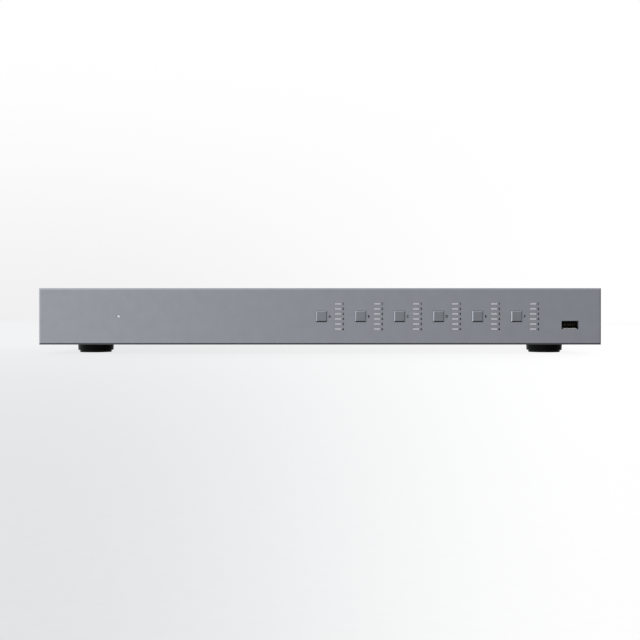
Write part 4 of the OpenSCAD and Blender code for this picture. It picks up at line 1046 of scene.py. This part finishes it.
def power_wires():
    pins = [((low.x + high.x) / 2, low.y, (low.z + high.z) / 2)
            for low, high in boxes("inlet_pins")]
    left, earth, right = pins
    tab_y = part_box("rocker_frame")[0].y
    tab_x, _, middle_z = rocker_pivot
    low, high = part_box("supply_board")
    main_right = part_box("main_board")[1].x
    # Each wire: its colour, its start, how it leaves there and reaches its end, in
    # millimetres, and its end
    wires = [("earth", earth, (0, -8, 0), (0, 0, 12), (earth[0], high.y - EARTH_Y, high.z))]
    tabs = []
    for pin, side, colour in ((left, -1, "brown"), (right, 1, "blue")):
        z = middle_z + side * TAB_Z
        tabs.append((tab_x, tab_y, z))
        wires.append((colour, pin, (0, -14, 0), (0, -12, 0), (tab_x + TAB_X, tab_y, z)))
        wires.append((colour, (tab_x - TAB_X, tab_y, z), (0, -7, 0), (0, 0, 14),
                      (low.x + MAINS_X + side * MAINS_SPACING, high.y - MAINS_Y, high.z)))
    for side, colour in ((-1, "black"), (1, "red")):
        y = low.y + OUTPUT_Y + side * OUTPUT_SPACING
        wires.append((colour, (low.x + OUTPUT_X, y, high.z), (0, 0, 12), (0, 0, 12),
                      (main_right - OUTPUT_X, y, high.z)))
    for colour in WIRES:
        mesh = bmesh.new()
        for name, start, leaving, reaching, end in wires:
            if name != colour:
                continue
            start, end = Vector(start), Vector(end)
            first = start + Vector(leaving) * MM
            second = end + Vector(reaching) * MM
            points = [start * (1 - t) ** 3 + first * 3 * t * (1 - t) ** 2
                      + second * 3 * t * t * (1 - t) + end * t ** 3
                      for t in (k / WIRE_STEPS for k in range(WIRE_STEPS + 1))]
            tube(mesh, points, WIRE_R, sides=14)
        piece(f"wire_{colour}", mesh, f"wire_{colour}",
              replaced=("power_wires",) if colour == "brown" else ())
    boots = bmesh.new()
    for places, (half_w, half_h) in ((pins, PIN_BOOT), (tabs, TAB_BOOT)):
        for place in places:
            close(boots, [
                ring(boots, facing_front(*place),
                     rounded((half_w + grow) * MM, (half_h + grow) * MM, BOOT_CORNER),
                     depth * MM)
                for depth, grow in BOOT])
    piece("wire_boots", boots, "boot")


# Rocker switch: an I and an O moulded on its faces

# Each face leans this many degrees from the rocker's middle, and the rocker rests as far over
ROCKER_TILT = 10
ROCKER_APEX = 4.3 * MM
MARK_Z = 4.6 * MM
MARK_HALF_T = 0.02 * MM
MARK_PROUD = 0.005 * MM
I_HALF_W = 0.25 * MM
I_HALF_H = 1.3 * MM
O_OUTER_R = 1.35 * MM
O_INNER_R = 0.9 * MM


def rocker_marks():
    marks = bmesh.new()
    rest = Matrix.Translation(rocker_pivot) @ turned(-ROCKER_TILT, "X")
    face_y = ROCKER_APEX + MARK_Z * math.tan(math.radians(ROCKER_TILT))
    low, high = -MARK_HALF_T, MARK_HALF_T
    for side in (1, -1):
        place = (rest @ Matrix.Translation((0, face_y, side * MARK_Z))
                 @ turned(-side * ROCKER_TILT, "X") @ facing_rear(0, MARK_PROUD, 0))
        if side > 0:
            block(marks, (-I_HALF_W, -I_HALF_H, low), (I_HALF_W, I_HALF_H, high),
                  edge=0.015 * MM, place=place)
        else:
            lathe(marks, [(O_INNER_R, low), (O_OUTER_R, low), (O_OUTER_R, high),
                          (O_INNER_R, high), (O_INNER_R, low)], place)
    piece("rocker_marks", marks, "white_ink", body="power_rocker")


# Printing on the rear panel: a digit for each input and a letter for each output

PORT_LABEL_H = 2.2 * MM
PORT_LABEL_Z = 5.4 * MM
JACK_LABEL_H = 1.8 * MM
JACK_LABEL_Z = 3 * MM
# A line under the letters and one over the digits, from the first port to the last
LINE_Z = 2.4 * MM
LINE_END = 8 * MM
LINE_HALF_H = 0.12 * MM


def rear_printing():
    mesh = bmesh.new()
    y = rear_y + INK_T / 2
    ports = [mean(low, high) for low, high in boxes("video_tongues")]
    columns = sorted({round(port[0], 5) for port in ports})
    rows = sorted({round(port[2], 5) for port in ports})
    for row, away, labels in ((rows[1], 1, "ABCDEF"), (rows[0], -1, "123456")):
        z = row + away * PORT_LABEL_Z
        for x, label in zip(columns, labels):
            written(mesh, label, PORT_LABEL_H, facing_rear(x, y, z))
        z += away * LINE_Z
        block(mesh, (columns[0] - LINE_END, rear_y, z - LINE_HALF_H),
              (columns[-1] + LINE_END, rear_y + INK_T, z + LINE_HALF_H), edge=0.005 * MM)
    for digit, (low, high) in zip("12", boxes("audio_jacks")):
        written(mesh, digit, JACK_LABEL_H,
                facing_rear((low.x + high.x) / 2, y, high.z + JACK_LABEL_Z))
    piece("rear_printing", mesh, "white_ink")


# Floor and backdrop

FLOOR_DROP = 0.05 * MM
FLOOR_HALF = 6
FLOOR_GLOW = 0.92
FLOOR_PAINTED_SHADE = (0.755, 0.77, 0.78, 1)
# The fan's half width over its depth, and the depth below which it no longer narrows
FAN_SLOPE = 0.34
FAN_START = 75 * MM
WHITE = (1, 1, 1, 1)


def floor_finish():
    """A pale, glowing floor with painted shade towards its left, in a fan that opens from the
    front.
    """
    f = Finish("floor", {"Roughness": 0.9, "Specular IOR Level": 0.1,
                         "Emission Strength": FLOOR_GLOW})
    place = f.split(f.place)
    depth = f.math("SUBTRACT", place["Y"], panel_low.y - CAMERA_DISTANCE)
    fan = f.math("DIVIDE", place["X"], f.math("MAXIMUM", f.math("ABSOLUTE", depth), FAN_START))
    # Painted shade: a fan towards the left, strongest near the front and fading with depth
    left = f.fade(fan, -FAN_SLOPE, FAN_SLOPE, 1, 0)
    painted_shade_near = f.times(f.spread(depth, 1.0, 0.52, start=0.15, end=0.9),
                   f.spread(depth, 0.0, 1.0, start=-0.5, end=0.07))
    tone = f.mix(f.times(left, painted_shade_near), WHITE, FLOOR_PAINTED_SHADE)
    f.set("Emission Color", f.mix(f.spread(f.noise(30 * MM, detail=3), 0, 0.02), tone,
                                  (0.8, 0.8, 0.8, 1)))
    f.set("Base Color", f.mix(f.spread(f.noise(2 * MM), 0, 1), (0.06, 0.06, 0.06, 1),
                              (0.05, 0.05, 0.05, 1)))
    # From below the floor is clear, so that the underside shows
    clear = f.node("ShaderNodeMixShader", {
        0: f.node("ShaderNodeNewGeometry").outputs["Backfacing"],
        1: f.surface.outputs[0], 2: f.node("ShaderNodeBsdfTransparent").outputs[0]})
    f.feed(f.tree.nodes["Material Output"].inputs["Surface"], clear.outputs[0])


def floor():
    floor_finish()
    mesh = bmesh.new()
    bmesh.ops.create_grid(mesh, x_segments=1, y_segments=1, size=FLOOR_HALF)
    data = bpy.data.meshes.new("floor")
    mesh.to_mesh(data)
    mesh.free()
    data.materials.append(finishes["floor"])
    made = placed("floor", data)
    made.location.z = -FLOOR_DROP
    made.visible_diffuse = False
    made.visible_glossy = False


# Light: a soft studio, brightest at the upper left and dark below

STUDIO_LEVEL = 0.6
STUDIO_COLOUR = (0.97, 0.98, 1.0, 1)
BACKDROP_PAINTED_SHADE = (0.79, 0.79, 0.79, 1)


def studio():
    world = bpy.data.worlds.new("studio")
    world.use_nodes = True
    bpy.context.scene.world = world
    world.node_tree.nodes.clear()
    w = Pattern(world.node_tree)
    way = w.split(w.node("ShaderNodeTexCoord").outputs["Generated"])
    right, up = way["X"], way["Z"]
    # What lights the part: bright from the left and above, dim from the right, dark below
    height = w.times(w.fade(up, -1.0, -0.25, 0.1, STUDIO_LEVEL),
                     w.fade(up, 0.2, 0.9, 1.0, 1.2))
    left = w.times(w.fade(right, -0.5, 0.2, 1.65, 0.92),
                   w.fade(right, -1.0, -0.75, 1.3, 1.0))
    side = w.times(left, w.fade(right, 0.3, 1.0, 1.0, 0.5))
    lighting = w.node("ShaderNodeBackground", {"Color": STUDIO_COLOUR,
                                               "Strength": w.times(height, side)})
    # What the camera sees behind the part, with painted shade towards its lower left
    painted_shade_low_left = w.times(w.fade(up, -0.1, 0.3, 0.72, 0.0), w.fade(right, -0.3, 0.3, 1.0, 0.0))
    backdrop = w.node("ShaderNodeBackground", {"Color": w.mix(painted_shade_low_left, WHITE, BACKDROP_PAINTED_SHADE)})
    seen = w.node("ShaderNodeLightPath").outputs["Is Camera Ray"]
    both = w.node("ShaderNodeMixShader", {0: seen, 1: lighting.outputs[0],
                                          2: backdrop.outputs[0]})
    w.node("ShaderNodeOutputWorld", {"Surface": both.outputs[0]})


def soft_light(name, place, aim, width, height, power):
    data = bpy.data.lights.new(name, "AREA")
    data.shape = "RECTANGLE"
    data.size = width
    data.size_y = height
    data.energy = power
    made = placed(name, data)
    made.location = place
    made.rotation_euler = (Vector(aim) - Vector(place)).to_track_quat("-Z", "Y").to_euler()
    made.visible_camera = False


# Everything that is added to the CAD model, in order

front_printing()
usb_details()
video_details()
network_details()
jack_details()
chip_details()
front_board_details()
capacitors()
transformer()
ribbon()
power_wires()
rocker_marks()
rear_printing()
floor()
studio()
soft_light("key_light", place=(-1.2, -0.9, 1.3), aim=(0, 0, 0.03), width=0.9, height=0.7,
           power=5)
soft_light("rear_light", place=(1.3, 1.5, 1.0), aim=(0, 0.1, 0.03), width=1.2, height=0.8,
           power=14)
